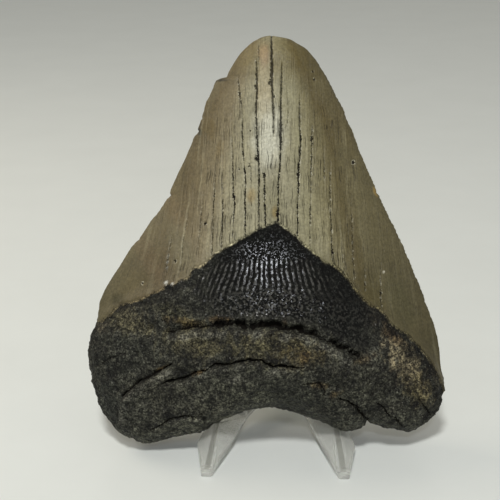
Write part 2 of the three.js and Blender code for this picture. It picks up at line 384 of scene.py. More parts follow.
    def edge_factor(self, across: Array, up: Array, crown_power: float) -> Array:
        """Falls to 0 at the outline: thin along the crown's edges, round along the root's.

        Args:
            across: Places to the right.
            up: Places towards the tip.
            crown_power: How sharply the crown thins towards its edges.

        Returns:
            The share of the middle's depth, 0 to 1.
        """
        left, right = self.sides(up)
        width = np.maximum(right - left, THIN)
        share = np.minimum(np.abs((2 * across - left - right) / width), 1)
        crown = (1 - share ** 2) ** crown_power
        root = np.sqrt(1 - share ** self.root_edge_power)
        from_bottom = np.clip((up - look_up(self.bottom_table, across)) / self.root_rounding, 0, 1)
        from_tip = np.clip((self.peak[1] - up) / self.tip_rounding, 0, 1)
        bottom = np.sqrt(1 - (1 - from_bottom) ** self.bottom_power)
        tip = np.sqrt(1 - (1 - from_tip) ** 2)
        mix = self.root_share(across, up)
        return (crown + (root - crown) * mix) * bottom * tip

    def depth(self, side: Side, across: Array, up: Array) -> Array:
        """Gives the smooth face's depth.

        Args:
            side: The face.
            across: Places to the right.
            up: Places towards the tip.

        Returns:
            The depths, positive towards the viewer.
        """
        if side is Side.BACK:
            return -look_up(self.back_table, up) * self.edge_factor(across, up, self.back_edge_power)
        middle = look_up(self.front_table, up)
        lobe = np.minimum(middle, self.lobe_front)
        bulge = np.exp(-((across / self.bulge_width) ** 2))
        root = self.root_share(across, up)
        thick = middle + (lobe + (middle - lobe) * bulge - middle) * root
        below = look_up(self.main_crack_table, across) - up
        along = within(across, *self.ledge_reach)
        under = smoothstep(below, *self.ledge_rise)
        fade = 1 - smoothstep(below, *self.ledge_fade)
        ledge = self.ledge * along * (under * fade - self.ledge_dip * (1 - under) * root)
        return thick * self.edge_factor(across, up, self.front_edge_power) + ledge

    def to_frame(self, across: Array, up: Array, depth: Array) -> Array:
        """Turns places in the tooth's plane into places in the frame.

        Args:
            across: Places to the right.
            up: Places towards the tip.
            depth: Places towards the viewer.

        Returns:
            The places in rows, in metres.
        """
        sine, cosine = math.sin(self.lean), math.cos(self.lean)
        right = across + self.offset[0]
        back = up * sine - depth * cosine + self.offset[1]
        height = self.lift + up * cosine + depth * sine
        return np.column_stack((right, back, height)) * MM


# Cracks, ledges, pits, stains, and patches of painted sheen and shadow


@dataclass(frozen=True)
class Crack:
    """An open crack: a path of across, up and width, and how deep it goes."""

    path: Path
    depth: float


@dataclass(frozen=True)
class Step:
    """A low ledge that stands higher on its path's right, or left where rise is negative."""

    path: Path
    rise: float
    fade: float


@dataclass(frozen=True)
class Lip:
    """A worn lip that swells up beside a crack, a little below its path, and is painted pale: partly
    wear and partly a painted highlight where it catches the light.
    """

    path: Path
    below: float
    wide: float
    rise: float
    paleness: float


@dataclass(frozen=True)
class Patch:
    """A soft oval patch, strongest in its middle."""

    across: float
    up: float
    wide: float
    tall: float
    strength: float

    def at(self, across: Array, up: Array) -> Array:
        """Gives the patch's strength at places."""
        reach = ((across - self.across) / self.wide) ** 2 + ((up - self.up) / self.tall) ** 2
        return self.strength * np.exp(-reach)


@dataclass(frozen=True)
class Spot:
    """A round pit in the surface."""

    across: float
    up: float
    radius: float
    depth: float


@dataclass(frozen=True)
class Stain:
    """A soft oval patch of another colour."""

    across: float
    up: float
    wide: float
    tall: float
    turn: float
    colour: str
    strength: float


CROWN_CRACKS = (
    Crack(((1.6, 129.2, 0.4), (1.5, 124, 0.6), (1.6, 119, 1.0), (1.6, 115, 0.9), (1.9, 109, 0.65),
           (2.0, 103, 0.65), (2.1, 96.2, 0.2)), 0.8),
    Crack(((4.7, 120, 0.1), (4.7, 117.5, 0.3), (4.4, 105.7, 0.55), (4.3, 98, 0.9), (4.3, 90.5, 0.75),
           (3.6, 82.3, 0.6), (3.3, 71.4, 0.5), (3.3, 69.6, 0.5)), 0.8),
    Crack(((-3.3, 121, 0.3), (-3.1, 111.2, 0.6), (-3.4, 104.8, 0.65), (-3.0, 93.3, 0.65),
           (-2.4, 83.6, 0.5), (-2.6, 78, 0.4), (-2.7, 67.6, 0.3)), 0.6),
    Crack(((-1.0, 86, 0.1), (-0.8, 82.6, 0.55), (-0.5, 68.6, 0.5)), 0.5),
    Crack(((-2.3, 125.3, 0.25), (-2.5, 116, 0.1)), 0.25),
    Crack(((-8.9, 116, 0.2), (-8.5, 111.1, 0.35), (-7.6, 104.6, 0.3), (-7.6, 93.4, 0.4),
           (-6.7, 84.6, 0.45), (-6.7, 65.4, 0.4)), 0.35),
    Crack(((-11.0, 104.7, 0.1), (-10.6, 84.6, 0.35), (-10.0, 75.2, 0.4), (-10.6, 63.2, 0.3)), 0.3),
    Crack(((-15.8, 87, 0.1), (-16.6, 73.7, 0.35), (-17.2, 59.2, 0.3)), 0.25),
    Crack(((-13.6, 91.4, 0.1), (-13.7, 73.6, 0.35), (-14.0, 61, 0.3)), 0.25),
    Crack(((-19.6, 80.4, 0.1), (-20.8, 67.1, 0.3), (-21.6, 60, 0.15)), 0.2),
    Crack(((6.2, 112.7, 0.1), (6.6, 102.2, 0.3), (6.0, 99, 0.2)), 0.2),
    Crack(((10.4, 110.3, 0.1), (10.2, 104.9, 0.35), (10.5, 94.7, 0.45), (9.8, 86.2, 0.6),
           (9.4, 65.4, 0.4)), 0.45),
    Crack(((14.1, 100.5, 0.15), (14.1, 95.7, 0.45), (13.7, 81.8, 0.3), (13.2, 61.6, 0.3)), 0.3),
    Crack(((19.9, 89.2, 0.1), (19.6, 80.3, 0.3), (20.1, 64.2, 0.4), (20.5, 55.8, 0.3)), 0.3),
    Crack(((17.7, 93.6, 0.1), (17.8, 85.5, 0.25), (17.7, 79, 0.1)), 0.2),
    Crack(((26.6, 78.2, 0.1), (26.6, 68.7, 0.25), (27.1, 51, 0.25)), 0.2),
    Crack(((23.4, 65, 0.1), (23.9, 53.4, 0.3)), 0.25),
    Crack(((36.0, 57.3, 0.1), (35.6, 43, 0.3)), 0.2),
    Crack(((30.6, 55.5, 0.1), (30.5, 48, 0.3)), 0.2),
    Crack(((-5.0, 92, 0.1), (-4.9, 83, 0.35), (-4.7, 77, 0.1)), 0.2),
    Crack(((-29.6, 66, 0.1), (-31.0, 58.6, 0.35), (-31.4, 53, 0.2)), 0.25),
    Crack(((-24.4, 74, 0.1), (-26.0, 64, 0.3), (-26.8, 54, 0.2)), 0.2),
)

ROOT_CRACKS = (
    Crack(((-32.5, 36.2, 0.2), (-31.2, 36.4, 0.4), (-27, 37, 0.6), (-22.5, 38.1, 0.55),
           (-18.9, 37.7, 0.6), (-12.5, 38.4, 0.75), (-3.5, 38.2, 1.0), (1.5, 38, 1.1),
           (6, 37.3, 1.05), (10.7, 36.8, 0.95), (15, 35.9, 0.9), (16.9, 34.7, 0.8), (20, 33.2, 0.7),
           (24.2, 31.5, 0.6), (27.4, 29, 0.4), (29.5, 27.6, 0.3)), 3.2),
    Crack(((-33, 19, 0.15), (-30.7, 20, 0.46), (-25.2, 21.2, 0.53), (-21.9, 23.3, 0.38),
           (-18.8, 24.1, 0.38), (-16.3, 25.4, 0.53), (-12.4, 25.6, 0.61), (-5.7, 27, 0.68),
           (-2.6, 26.8, 0.61), (1.4, 25.4, 0.84), (5.9, 25.7, 0.76), (10.8, 24.7, 0.38)), 2.2),
    Crack(((-45.4, 14.8, 0.23), (-43.3, 17.1, 0.61), (-38.6, 20.7, 0.76), (-33.5, 23.4, 0.61),
           (-29.6, 26.2, 0.3)), 1.7),
    Crack(((-36.6, 4.8, 0.23), (-33.4, 6.5, 0.46), (-30.8, 7.6, 0.61), (-26.2, 8.9, 0.46),
           (-22.4, 8.9, 0.38), (-19.4, 10, 0.23)), 1.2),
    Crack(((-22.4, 8.9, 0.3), (-19, 8.4, 0.15)), 0.7),
    Crack(((-51.9, 24.6, 0.23), (-49.2, 26.3, 0.34), (-45.1, 28.3, 0.19)), 0.6),
    Crack(((21.9, 14.2, 0.3), (25.3, 13.5, 0.53), (27.4, 12.2, 0.68), (30, 9.3, 0.91), (31.8, 6.8, 0.91),
           (32.5, 4.6, 0.76)), 1.8),
    Crack(((33.9, 13.3, 0.23), (35.5, 11.6, 0.46), (38.3, 9.2, 0.61), (42.9, 4.9, 0.38)), 1.0),
    Crack(((47.6, 14.8, 0.23), (49, 12.8, 0.46), (52, 8.7, 0.38)), 0.8),
    Crack(((1.4, 34.8, 0.38), (1, 31.8, 0.23)), 0.8),
    Crack(((10.6, 20.3, 0.3), (15.6, 19.6, 0.53), (18.1, 17.4, 0.46), (16.9, 15.8, 0.23)), 0.7),
)

BACK_CRACKS = (
    Crack(((1.5, 128, 0.3), (1.9, 112, 0.5), (2.4, 97, 0.2)), 0.5),
    Crack(((-3.4, 118, 0.2), (-3.0, 98, 0.5), (-2.4, 74, 0.4), (-2.6, 56, 0.2)), 0.4),
    Crack(((5.6, 110, 0.2), (5.2, 90, 0.45), (6.4, 66, 0.4), (6.0, 52, 0.2)), 0.4),
    Crack(((-11, 96, 0.1), (-11.6, 80, 0.4), (-11.2, 58, 0.2)), 0.3),
    Crack(((15, 92, 0.1), (15.8, 74, 0.4), (15.4, 54, 0.2)), 0.3),
    Crack(((-24, 70, 0.1), (-25.4, 58, 0.3), (-26, 48, 0.1)), 0.2),
    Crack(((27, 66, 0.1), (28.2, 54, 0.3), (28.6, 46, 0.1)), 0.2),
    Crack(((-30, 26, 0.3), (-18, 29.5, 0.9), (-6, 28.4, 0.7), (6, 30, 0.3)), 1.2),
    Crack(((12, 22, 0.2), (22, 24.5, 0.7), (33, 21, 0.3)), 0.9),
)

ROOT_STEPS = (
    Step(((-31, 20), (-25.2, 21.2), (-16.3, 25.4), (-5.7, 27), (1.4, 25.4), (10.8, 24.7)), 0.8, 6),
    Step(((-30.6, 25.5), (-38.6, 20.7), (-43.3, 17.1), (-46.4, 12.6), (-46.6, 7), (-44, 3)), -1.1, 8),
    Step(((21.9, 14.2), (27.4, 12.2), (30, 9.3), (32.5, 4.6)), 0.5, 4),
    Step(((33.9, 13.3), (38.3, 9.2), (42.9, 4.9)), -0.5, 4),
    Step(((47.6, 16), (49, 12.8), (52, 8.7)), -0.6, 4),
)

# Pale lips below the cracks: worn, and painted pale as the highlight where they catch the light.
LIPS = (
    Lip(ROOT_CRACKS[0].path, 3.2, 1.1, 0.3, 0.28),
    Lip(ROOT_CRACKS[1].path, 1.5, 1.0, 0.25, 0.15),
    Lip(((-47.2, 9), (-45.4, 14.8), (-43.3, 17.1), (-38.6, 20.7), (-33.5, 23.4), (-29.6, 26.2)),
        1.9, 1.0, 0.4, 0.2),
    Lip(((-43.7, 2.2), (-46.8, 6.1), (-46.4, 10.7), (-44.5, 15.4), (-41, 18.6)), 0.9, 0.8, 0.35, 0.24),
    Lip(ROOT_CRACKS[3].path, 0.9, 0.8, 0.2, 0.15),
    Lip(((-14, 20), (-6, 23.4), (2, 23.6), (9, 21.6)), 0.6, 1.2, 0.3, 0.15),
)

SHINES = (
    Patch(2, 55.5, 11, 6, 1.0),
    Patch(-3.5, 61, 5, 3, 1.0),
    Patch(3, 46.5, 15, 4, 0.5),
    Patch(1, 96, 4.6, 8, 1.0),
)

CROWN_PITS = (
    Spot(14.6, 117.4, 0.35, 0.3), Spot(14.9, 114.8, 0.4, 0.35), Spot(27.4, 88.5, 0.6, 0.4),
    Spot(14.1, 95.7, 0.55, 0.5), Spot(1.0, 113.4, 0.6, 0.5), Spot(-3.3, 112, 0.5, 0.4),
    Spot(2.2, 109, 0.5, 0.4), Spot(4.3, 105.4, 0.5, 0.4), Spot(-3.3, 89.2, 0.6, 0.5),
    Spot(-0.8, 84.1, 0.55, 0.5), Spot(3.3, 72, 0.6, 0.5), Spot(-5.0, 98, 0.25, 0.2),
    Spot(-8.4, 110, 0.4, 0.3), Spot(-10.2, 77.4, 0.55, 0.4), Spot(-19.2, 69, 0.5, 0.35),
    Spot(20.3, 60, 0.45, 0.3), Spot(-28.6, 57.3, 0.45, 0.35), Spot(-39, 50.2, 0.35, 0.2),
    Spot(35.7, 47.2, 0.4, 0.3), Spot(9.7, 84, 0.55, 0.35), Spot(-5.6, 86.7, 0.3, 0.2),
    Spot(-8.6, 86.2, 0.3, 0.2),
)

# Colour patches on the crown: stains, with a painted sheen and a painted shadow among them.
CROWN_STAINS_AND_PAINTED_LIGHT = (
    Stain(0, 122, 13, 8, 0, "665a34", 0.55),
    Stain(-0.8, 109, 2.4, 14, 0, "a89c7e", 0.6),
    Stain(-0.8, 122.5, 1.8, 3.6, 0, "99795a", 0.4),
    Stain(-4.7, 77.6, 1.4, 2.2, 0, "877244", 0.65),
    Stain(2.5, 72.4, 1.0, 2.0, 0, "8c7440", 0.7),
    Stain(1, 76, 4, 7, 0, "6e6a4c", 0.4),
    # A pale grey patch where the crown's sheen falls: painted highlight.
    Stain(0.5, 96, 5, 10, 0, "c8c8b8", 0.65),
    Stain(-17.5, 99, 2.2, 4.0, 20, "5c4e2c", 0.45),
    Stain(-14.6, 93, 1.2, 3.6, -12, "6e5c34", 0.4),
    Stain(12, 119, 4.5, 7, 30, "574b2c", 0.4),
    Stain(21, 102, 4, 14, 22, "52462a", 0.35),
    Stain(-47.4, 45.2, 2.4, 1.7, 20, "413d2b", 0.8),
    # A dark line under the ledge of the left notch: painted shadow.
    Stain(-14.2, 114.8, 2.2, 0.4, 0, "24231c", 0.85),
    # Small white spots on the crown's lower left.
    Stain(-30.9, 58.8, 0.3, 0.6, 0, "c8c8bc", 0.6),
    Stain(-31.1, 56.9, 0.3, 0.5, 0, "c8c8bc", 0.7),
    Stain(-31.2, 55.2, 0.3, 0.4, 0, "c8c8bc", 0.6),
    Stain(-31.4, 50.4, 0.6, 0.6, 0, "d8d8d0", 0.9),
    Stain(-29.4, 49.9, 0.4, 0.5, 0, "d8d8d0", 0.8),
    Stain(-38, 60, 3, 12, 30, "74624a", 0.25),
    Stain(-30, 75, 2.5, 14, 28, "766448", 0.25),
    Stain(-43, 50, 5, 5, 10, "645c40", 0.3),
    # A small white spot.
    Stain(36.8, 53.8, 0.45, 0.35, 20, "cfcab8", 0.9),
    Stain(34.8, 79.4, 0.8, 1.6, 22, "9c824a", 0.8),
    Stain(42, 44, 4, 9, 24, "484630", 0.4),
    Stain(33, 48, 4, 8, 20, "4e482c", 0.35),
    Stain(-21.5, 98.4, 0.9, 1.3, 20, "2a2a22", 0.8),
    Stain(-27, 62, 4, 9, 15, "7c7860", 0.35),
)

ROOT_STAINS = (
    Stain(-42, 28, 9, 9, 0, "272822", 0.6),
    Stain(-50, 13, 5, 11, 15, "1c1e1a", 0.75),
    # Paler grey patches along the root's lower edge and under its arch.
    Stain(-28, 4.5, 14, 3, 12, "56564a", 0.6),
    Stain(27, 5.5, 8, 3, 0, "4c4c42", 0.6),
    Stain(44, 8, 7, 5, 0, "46463c", 0.5),
    Stain(-13, 14, 12, 6, 10, "5c5b4e", 0.6),
    Stain(-24, 24, 3, 7, 60, "1e1e18", 0.5),
    Stain(22, 22, 5, 4, 20, "201f18", 0.6),
    Stain(37, 12, 3, 4, 30, "22211a", 0.5),
    Stain(-45, 41.5, 8, 3.5, -25, "5a5543", 0.65),
    Stain(-44, 38.5, 8, 3.4, -18, "4b4734", 0.7),
    Stain(-30, 42, 9, 2.4, -24, "3d3b2c", 0.7),
    Stain(-33, 18, 10, 6, -20, "302f26", 0.5),
    Stain(-20, 32, 12, 5, -6, "3e3a28", 0.7),
    Stain(0, 31, 14, 4, 0, "413d2a", 0.7),
    Stain(10, 28, 7, 4, 0, "3e3620", 0.6),
    Stain(-2, 17, 22, 6, 0, "33342b", 0.6),
    Stain(30, 20, 12, 8, 0, "282820", 0.6),
    Stain(43.1, 26.5, 4.2, 10, 34, "6d644e", 0.85),
    Stain(39.5, 34.5, 2.0, 5, 36, "56432a", 0.6),
    Stain(47.5, 17.5, 4.0, 6, 14, "4e472f", 0.6),
    Stain(34, 40, 3, 6, 40, "30281a", 0.5),
    Stain(-33.0, 24.0, 1.4, 0.5, 28, "665432", 0.6),
    Stain(-20.8, 23.3, 2.0, 0.5, 20, "5e4a2a", 0.6),
    Stain(-26, 38.8, 6.5, 1.1, -6, "524528", 0.55),
    Stain(-15, 39.6, 3.4, 0.8, 0, "5e4a2c", 0.5),
    Stain(5.5, 39.8, 0.9, 2.0, 0, "4a3822", 0.5),
    Stain(11.4, 28.4, 1.6, 1.6, 0, "4a3a20", 0.5),
    Stain(20.6, 16.4, 2.2, 1.3, 30, "483a20", 0.45),
    Stain(16, 19, 3, 1.0, -10, "443820", 0.45),
    Stain(30, 27, 3.5, 1.4, 20, "443824", 0.4),
    Stain(-53.4, 37.0, 2.4, 1.7, 0, "7d7560", 0.8),
    Stain(53.4, 21.4, 1.2, 3.6, 8, "6c6653", 0.7),
    Stain(26.5, 54, 9, 5, 44, "1c1a14", 0.5),
    Stain(22, 55, 3, 6, 30, "2b2018", 0.4),
)


def nearer(rows: Array, others: Array) -> Array:
    """Keeps for each place the row of the crack or pit whose edge is nearer."""
    closer = others[:, 1] - others[:, 2] < rows[:, 1] - rows[:, 2]
    return np.where(closer[:, None], others, rows)


@dataclass(frozen=True)
class CrackSet:
    """Cracks that open alike.

    The gape is the share of a crack's width that is open, ragged is how far the cracks wander in
    millimetres, and slump is how much wider the lower side slopes in than the upper side.
    """

    cracks: Sequence[Crack]
    gape: float
    ragged: float
    slump: float
    long_sway: Pair = (5.0, 4.0)
    short_sway: Pair = (1.3, 1.1)
    short_shares: Pair = (0.5, 0.6)
    knots: float = 0.55
    knot_pitch: float = 0.9
    seeds: tuple[int, int, int, int, int] = (0, 50, 20, 60, 90)
    rounding: float = 0.1
    sharpest: float = 0.05
    end_depth: float = 0.3

    def wander(self, line: Array, way: int, number: int) -> Array:
        """Sways a crack to one side and back.

        Args:
            line: Places along the crack.
            way: 0 for its sway across and 1 for its sway up.
            number: The crack's number, which chooses the sway.

        Returns:
            The sway, in shares of the set's raggedness.
        """
        first, second = self.seeds[2 * way], self.seeds[2 * way + 1]
        small = self.short_shares[way] * wobble(line, self.short_sway[way], number + second)
        return wobble(line, self.long_sway[way], number + first) + small

    def measure(self, across: Array, up: Array) -> tuple[Array, Array]:
        """Measures places against the cracks.

        Args:
            across: Places to the right.
            up: Places towards the tip.

        Returns:
            How far each place is sunk, and rows of the signed distance to the nearest crack, its
            plain distance and half the crack's width.
        """
        sunk = np.zeros(across.shape)
        away = np.full(across.shape, UNCRACKED)
        near = np.column_stack((away, away, sunk))
        for number, crack in enumerate(self.cracks):
            right = across + self.ragged * self.wander(up + across, 0, number)
            high = up + self.ragged * self.wander(across - up, 1, number)
            found = trace(crack.path, right, high)
            knots = 1 + self.knots * wobble(up + 2 * across, self.knot_pitch, number + self.seeds[4])
            half = 0.5 * self.gape * found.width * knots
            lower = np.where(found.beside < 0, 1 + self.slump, 1)
            reach = found.distance / np.maximum((half + self.rounding) * lower, self.sharpest)
            full = self.end_depth + (1 - self.end_depth) * found.ends(CRACK_ENDS)
            sunk = np.maximum(sunk, crack.depth * full * np.exp(-reach ** 2))
            near = nearer(near, np.column_stack((found.beside, found.distance, half)))
        return sunk, near


CROWN_SET = CrackSet(CROWN_CRACKS, 0.62, 0.12, 0)
ROOT_SET = CrackSet(ROOT_CRACKS, 0.7, 0.5, 0.5)
BACK_SET = CrackSet(BACK_CRACKS, 0.7, 0.25, 0.6)


def add_stains(tone: Array, stains: Sequence[Stain], across: Array, up: Array, ragged: Array) -> Array:
    """Lays oval patches over a colour.

    Args:
        tone: Linear colours, in rows.
        stains: The patches.
        across: Places to the right.
        up: Places towards the tip.
        ragged: Noise that breaks the patches' borders.

    Returns:
        The colours with the patches.
    """
    for stain in stains:
        turn = math.radians(stain.turn)
        right, high = across - stain.across, up - stain.up
        wide = (right * math.cos(turn) + high * math.sin(turn)) / stain.wide
        tall = (high * math.cos(turn) - right * math.sin(turn)) / stain.tall
        reach = np.hypot(wide, tall) + STAIN_RAGGEDNESS * ragged
        share = stain.strength * (1 - smoothstep(reach, *STAIN_BORDER))
        tone = lay_over(tone, light_of(stain.colour), share)
    return tone


# The tooth's surface


@dataclass
class Surface:
    """What one face of the tooth needs at each vertex."""

    rise: Array
    tone: Array
    grain: Array
    zone: Array
    crack: Array
    wear: Array


@dataclass(frozen=True)
class ToothSurface:
    """The relief and the colours of the crown, the dark chevron and the root."""

    form: ToothForm
    enamel_line: Path = (
        (-58, 35.5), (-55.6, 38.1), (-54.5, 38.2), (-52.3, 38.5), (-50.0, 40.5), (-46.2, 43.7),
        (-42.8, 44.3), (-38.9, 45.7), (-35.2, 47.5), (-32.3, 49.0), (-31.0, 50.6), (-29.0, 49.6),
        (-27, 51.3), (-24.6, 52.2), (-23.7, 54.6), (-19.8, 56.4), (-17.6, 58.8), (-13.4, 61.3),
        (-10.9, 62.7), (-6.2, 65.6), (-0.8, 68.4), (1.4, 69.3), (2.8, 69.9), (4.3, 68.9), (9.3, 65.3),
        (13.7, 60.8), (18.0, 57.2), (20.9, 56.1), (23.7, 53.6), (26.5, 50.4), (28.8, 47.0),
        (32.3, 43.8), (35.4, 42.5), (38.8, 38.0), (43.6, 34.7), (48.0, 30.5), (51.9, 25.6),
        (54.8, 20.4), (57.4, 15.5), (58.5, 13),
    )
    back_dip: float = 15.0
    back_dip_half: float = 54.0
    enamel_rag: float = 0.3
    enamel_border: Range = (-0.2, 0.3)
    enamel_tone_border: Range = (-0.6, -0.1)
    enamel_rise: float = 0.45
    stria_height: float = 0.035
    wave_height: float = 0.09
    rim_fade: Range = (0, 0.12)
    growth_spread: float = 0.0017
    growth_power: float = 1.375
    growth_right: float = -0.4
    growth_level: float = 60.0
    growth_sway: float = 0.35
    ridge_pitch: float = 1.42
    ridge_fan: float = 0.018
    ridge_sway: float = 0.26
    ridge_height: float = 0.06
    ridge_floor: float = 0.6
    ridge_slope: float = 0.22
    ridge_depth_range: Range = (-24, -17)
    ridge_top_range: Range = (-4.5, -2)
    ridge_low_range: Range = (47, 52)
    ridge_high_range: Range = (56, 58.5)
    ridge_middle: Patch = Patch(2, 54.5, 12, 6, 0.7)
    fresh_range: Range = (7, 20)
    fresh_loss: float = 0.6
    pit_range: Range = (47, 53)
    pit_height: float = 0.15
    band_pebbles: float = 0.03
    band_lumps: float = 0.06
    band_reach: tuple[Range, Range] = ((-28, -12), (27, 44))
    band_start: Range = (0, 4)
    band_sway: float = 3.0
    band_wander: Wander = (6, 31)
    band_shade: float = 0.8
    band_shade_reach: float = 3.5
    stone_heights: tuple[float, float, float, float] = (0.4, 0.46, 0.5, 0.45)
    collar_depth: float = 0.2
    collar: tuple[Range, Range] = ((0, 1.5), (2, 7))
    bead_level: float = 0.75
    bead_swing: float = 0.7
    bead_top: float = 1.2
    lip_rag: float = 0.5
    lip_paleness: Pair = (0.6, 0.9)
    # The root is paler on its lumps and swells and darker in their dips: partly wear, partly painted
    # light and shade.
    lump_wear_and_shading: float = 0.25
    swell_wear_and_shading: float = 0.3
    fleck_rag: float = 2.0
    crown_stain_rag: float = 0.6
    ridge_depth_rag: float = 0.6
    ridge_rag: float = 0.8
    farthest_border: float = 6.0
    deepest: float = 4.0
    step_rag: float = 0.4
    step_wanders: tuple[Wander, Wander] = ((4, 7), (4, 8))
    step_slope: Range = (-0.3, 0.7)
    growth_noise: Layer = Layer(4, 2, 41, (0.6, 1, 0))
    ridge_noise: Layer = Layer(2.4, 2, 42, (1, 0.8, 0))
    bead_noise: Layer = Layer(2, 2, 43, (1, 0.6, 0))
    border_noise: Layer = Layer(1.8, 3, 3)
    rag_noise: Layer = Layer(3.5, 4, 11)
    fleck_noise: Layer = Layer(1.3, 3, 12, (1, 0.5, 1))
    stria_noise: Layer = Layer(0.9, 3, 5, (1, 0.05, 0))
    wave_noise: Layer = Layer(7, 2, 6, (1, 0.18, 0.3))
    pebble_noise: Layer = Layer(1.5, 3, 21)
    lump_noise: Layer = Layer(5.5, 3, 22)
    swell_noise: Layer = Layer(16, 2, 23)
    fold_noise: Layer = Layer(3.6, 3, 25, (0.3, 1, 1))
    tone_noise: Layer = Layer(3, 3, 61, (1, 0.1, 0))
    light_width: Path = ((40, 26), (50, 24), (67, 20), (85, 17), (102, 13.5), (118, 8), (129, 4))
    crown_ramp: tuple[tuple[float, str], ...] = (
        (-3.0, "605c4a"), (-2.2, "686149"), (-1.5, "635840"), (-1.0, "7d735a"), (-0.55, "918c73"),
        (0.0, "959078"), (0.55, "8c876b"), (0.9, "766f52"), (1.2, "5e5539"), (1.45, "686147"),
        (1.7, "605940"), (2.4, "524c38"), (3.2, "464331"),
    )
    light_middle: float = 1.5
    light_rag: float = 1.2
    low_crown_shade: float = 0.24
    low_crown_range: Range = (44, 74)
    worn_lit_lip_tone: str = "8a887c"
    root_tone: str = "2e2e27"
    band_tone: str = "090a08"

    def growth_line(self, place: Array) -> Array:
        """Follows the growth lines, which fan out from the tip towards the crown's corners.

        Args:
            place: Places across, up and towards the viewer, in rows.

        Returns:
            The growth line through each place, as its place across at the growth level.
        """
        across, up = place[:, 0], place[:, 1]
        slant = np.where(across < 0, 1.0, self.growth_right)
        slope = self.growth_spread * np.abs(across) ** self.growth_power * slant
        return across - slope * (up - self.growth_level) + self.growth_sway * self.growth_noise.at(place)

    def enamel_distance(self, side: Side, across: Array, up: Array) -> Array:
        """Measures places from the enamel's lower edge.

        Args:
            side: The face.
            across: Places to the right.
            up: Places towards the tip.

        Returns:
            How far above the edge each place is, negative below it.
        """
        line = np.asarray(self.enamel_line, float)
        if side is Side.BACK:
            line[:, 1] -= self.back_dip * np.clip(1 - (line[:, 0] / self.back_dip_half) ** 2, 0, 1)
        distance = trace(line.tolist(), across, up).distance
        return np.where(up > np.interp(across, line[:, 0], line[:, 1]), distance, -distance)

    def pits(self, near: Array, across: Array, up: Array) -> tuple[Array, Array]:
        """Adds round pits to what was measured for the cracks.

        Args:
            near: The cracks' rows.
            across: Places to the right.
            up: Places towards the tip.

        Returns:
            How far each place is sunk, and the rows with the pits.
        """
        sunk = np.zeros(across.shape)
        for spot in CROWN_PITS:
            distance = np.hypot(across - spot.across, PIT_FLATNESS * (up - spot.up))
            sunk = np.maximum(sunk, spot.depth * np.exp(-((distance / spot.radius) ** 2)))
            half = np.full(across.shape, PIT_OPEN * spot.radius)
            near = nearer(near, np.column_stack((distance, distance, half)))
        return sunk, near

    def hollows(self, side: Side, across: Array, up: Array) -> tuple[Array, Array]:
        """Measures places against all of one face's cracks and pits.

        Args:
            side: The face.
            across: Places to the right.
            up: Places towards the tip.

        Returns:
            How far each place is sunk, and the rows of the nearest crack or pit.
        """
        if side is Side.BACK:
            return BACK_SET.measure(across, up)
        sunk, near = CROWN_SET.measure(across, up)
        root_sunk, root_near = ROOT_SET.measure(across, up)
        pit_sunk, near = self.pits(nearer(near, root_near), across, up)
        return np.maximum(np.maximum(sunk, pit_sunk), root_sunk), near

    def steps(self, across: Array, up: Array) -> Array:
        """Adds up the root's low ledges.

        Args:
            across: Places to the right.
            up: Places towards the tip.

        Returns:
            How far the ledges rise.
        """
        rise = np.zeros(across.shape)
        right = across + self.step_rag * wobble(up, *self.step_wanders[0])
        high = up + self.step_rag * wobble(across, *self.step_wanders[1])
        for step in ROOT_STEPS:
            found = trace(step.path, right, high)
            side = -found.beside if step.rise > 0 else found.beside
            lift = smoothstep(side, *self.step_slope) * np.exp(-np.maximum(side, 0) / step.fade)
            rise += abs(step.rise) * lift * found.ends(STEP_ENDS)
        return rise

    def lips(self, across: Array, up: Array, ragged: Array) -> tuple[Array, Array]:
        """Measures the worn lips, whose paleness is partly wear and partly painted highlight.

        Args:
            across: Places to the right.
            up: Places towards the tip.
            ragged: Noise that breaks the lips up.

        Returns:
            How far the lips rise, and how pale they are painted, partly as wear and partly as highlight.
        """
        rise, pale = np.zeros(across.shape), np.zeros(across.shape)
        level, swing = self.lip_paleness
        for lip in LIPS:
            found = trace(lip.path, across, up)
            off = (found.beside + lip.below + self.lip_rag * ragged) / lip.wide
            crest = np.exp(-off ** 2) * found.ends(LIP_ENDS)
            rise = np.maximum(rise, lip.rise * crest)
            pale = np.maximum(pale, lip.paleness * crest * np.clip(level + swing * ragged, 0, 1))
        return rise, pale

    def shine(self, side: Side, across: Array, up: Array) -> Array:
        """Finds how polished each place is.

        Args:
            side: The face; the back is dull.
            across: Places to the right.
            up: Places towards the tip.

        Returns:
            The polish, from 0 to 1.
        """
        total = np.zeros(across.shape)
        if side is Side.BACK:
            return total
        for patch in SHINES:
            total = np.maximum(total, patch.at(across, up))
        return total

    def band(self, side: Side, across: Array, up: Array) -> Array:
        """Finds the polished black chevron.

        Args:
            side: The face; the back has none.
            across: Places to the right.
            up: Places towards the tip.

        Returns:
            1 on the chevron and 0 on the dull root.
        """
        if side is Side.BACK:
            return np.zeros(across.shape)
        wide = within(across + self.band_sway * wobble(up, *self.band_wander), *self.band_reach)
        bottom = look_up(self.form.main_crack_table, across)
        return wide * smoothstep(up - bottom, *self.band_start)

    def crown_tone(self, across: Array, up: Array, grain: Array) -> Array:
        """Colours the crown before its streaks.

        Args:
            across: Places to the right.
            up: Places towards the tip.
            grain: Places along the growth lines, in rows.

        Returns:
            Linear colours, in rows.
        """
        width = np.interp(up, *np.transpose(self.light_width))
        share = (across - self.light_middle + self.light_rag * self.tone_noise.at(grain)) / width
        places = [place for place, _ in self.crown_ramp]
        colours = np.array([light_of(code) for _, code in self.crown_ramp])
        tone = np.column_stack([np.interp(share, places, column) for column in colours.T])
        return tone * (1 - self.low_crown_shade * (1 - smoothstep(up, *self.low_crown_range)))[:, None]

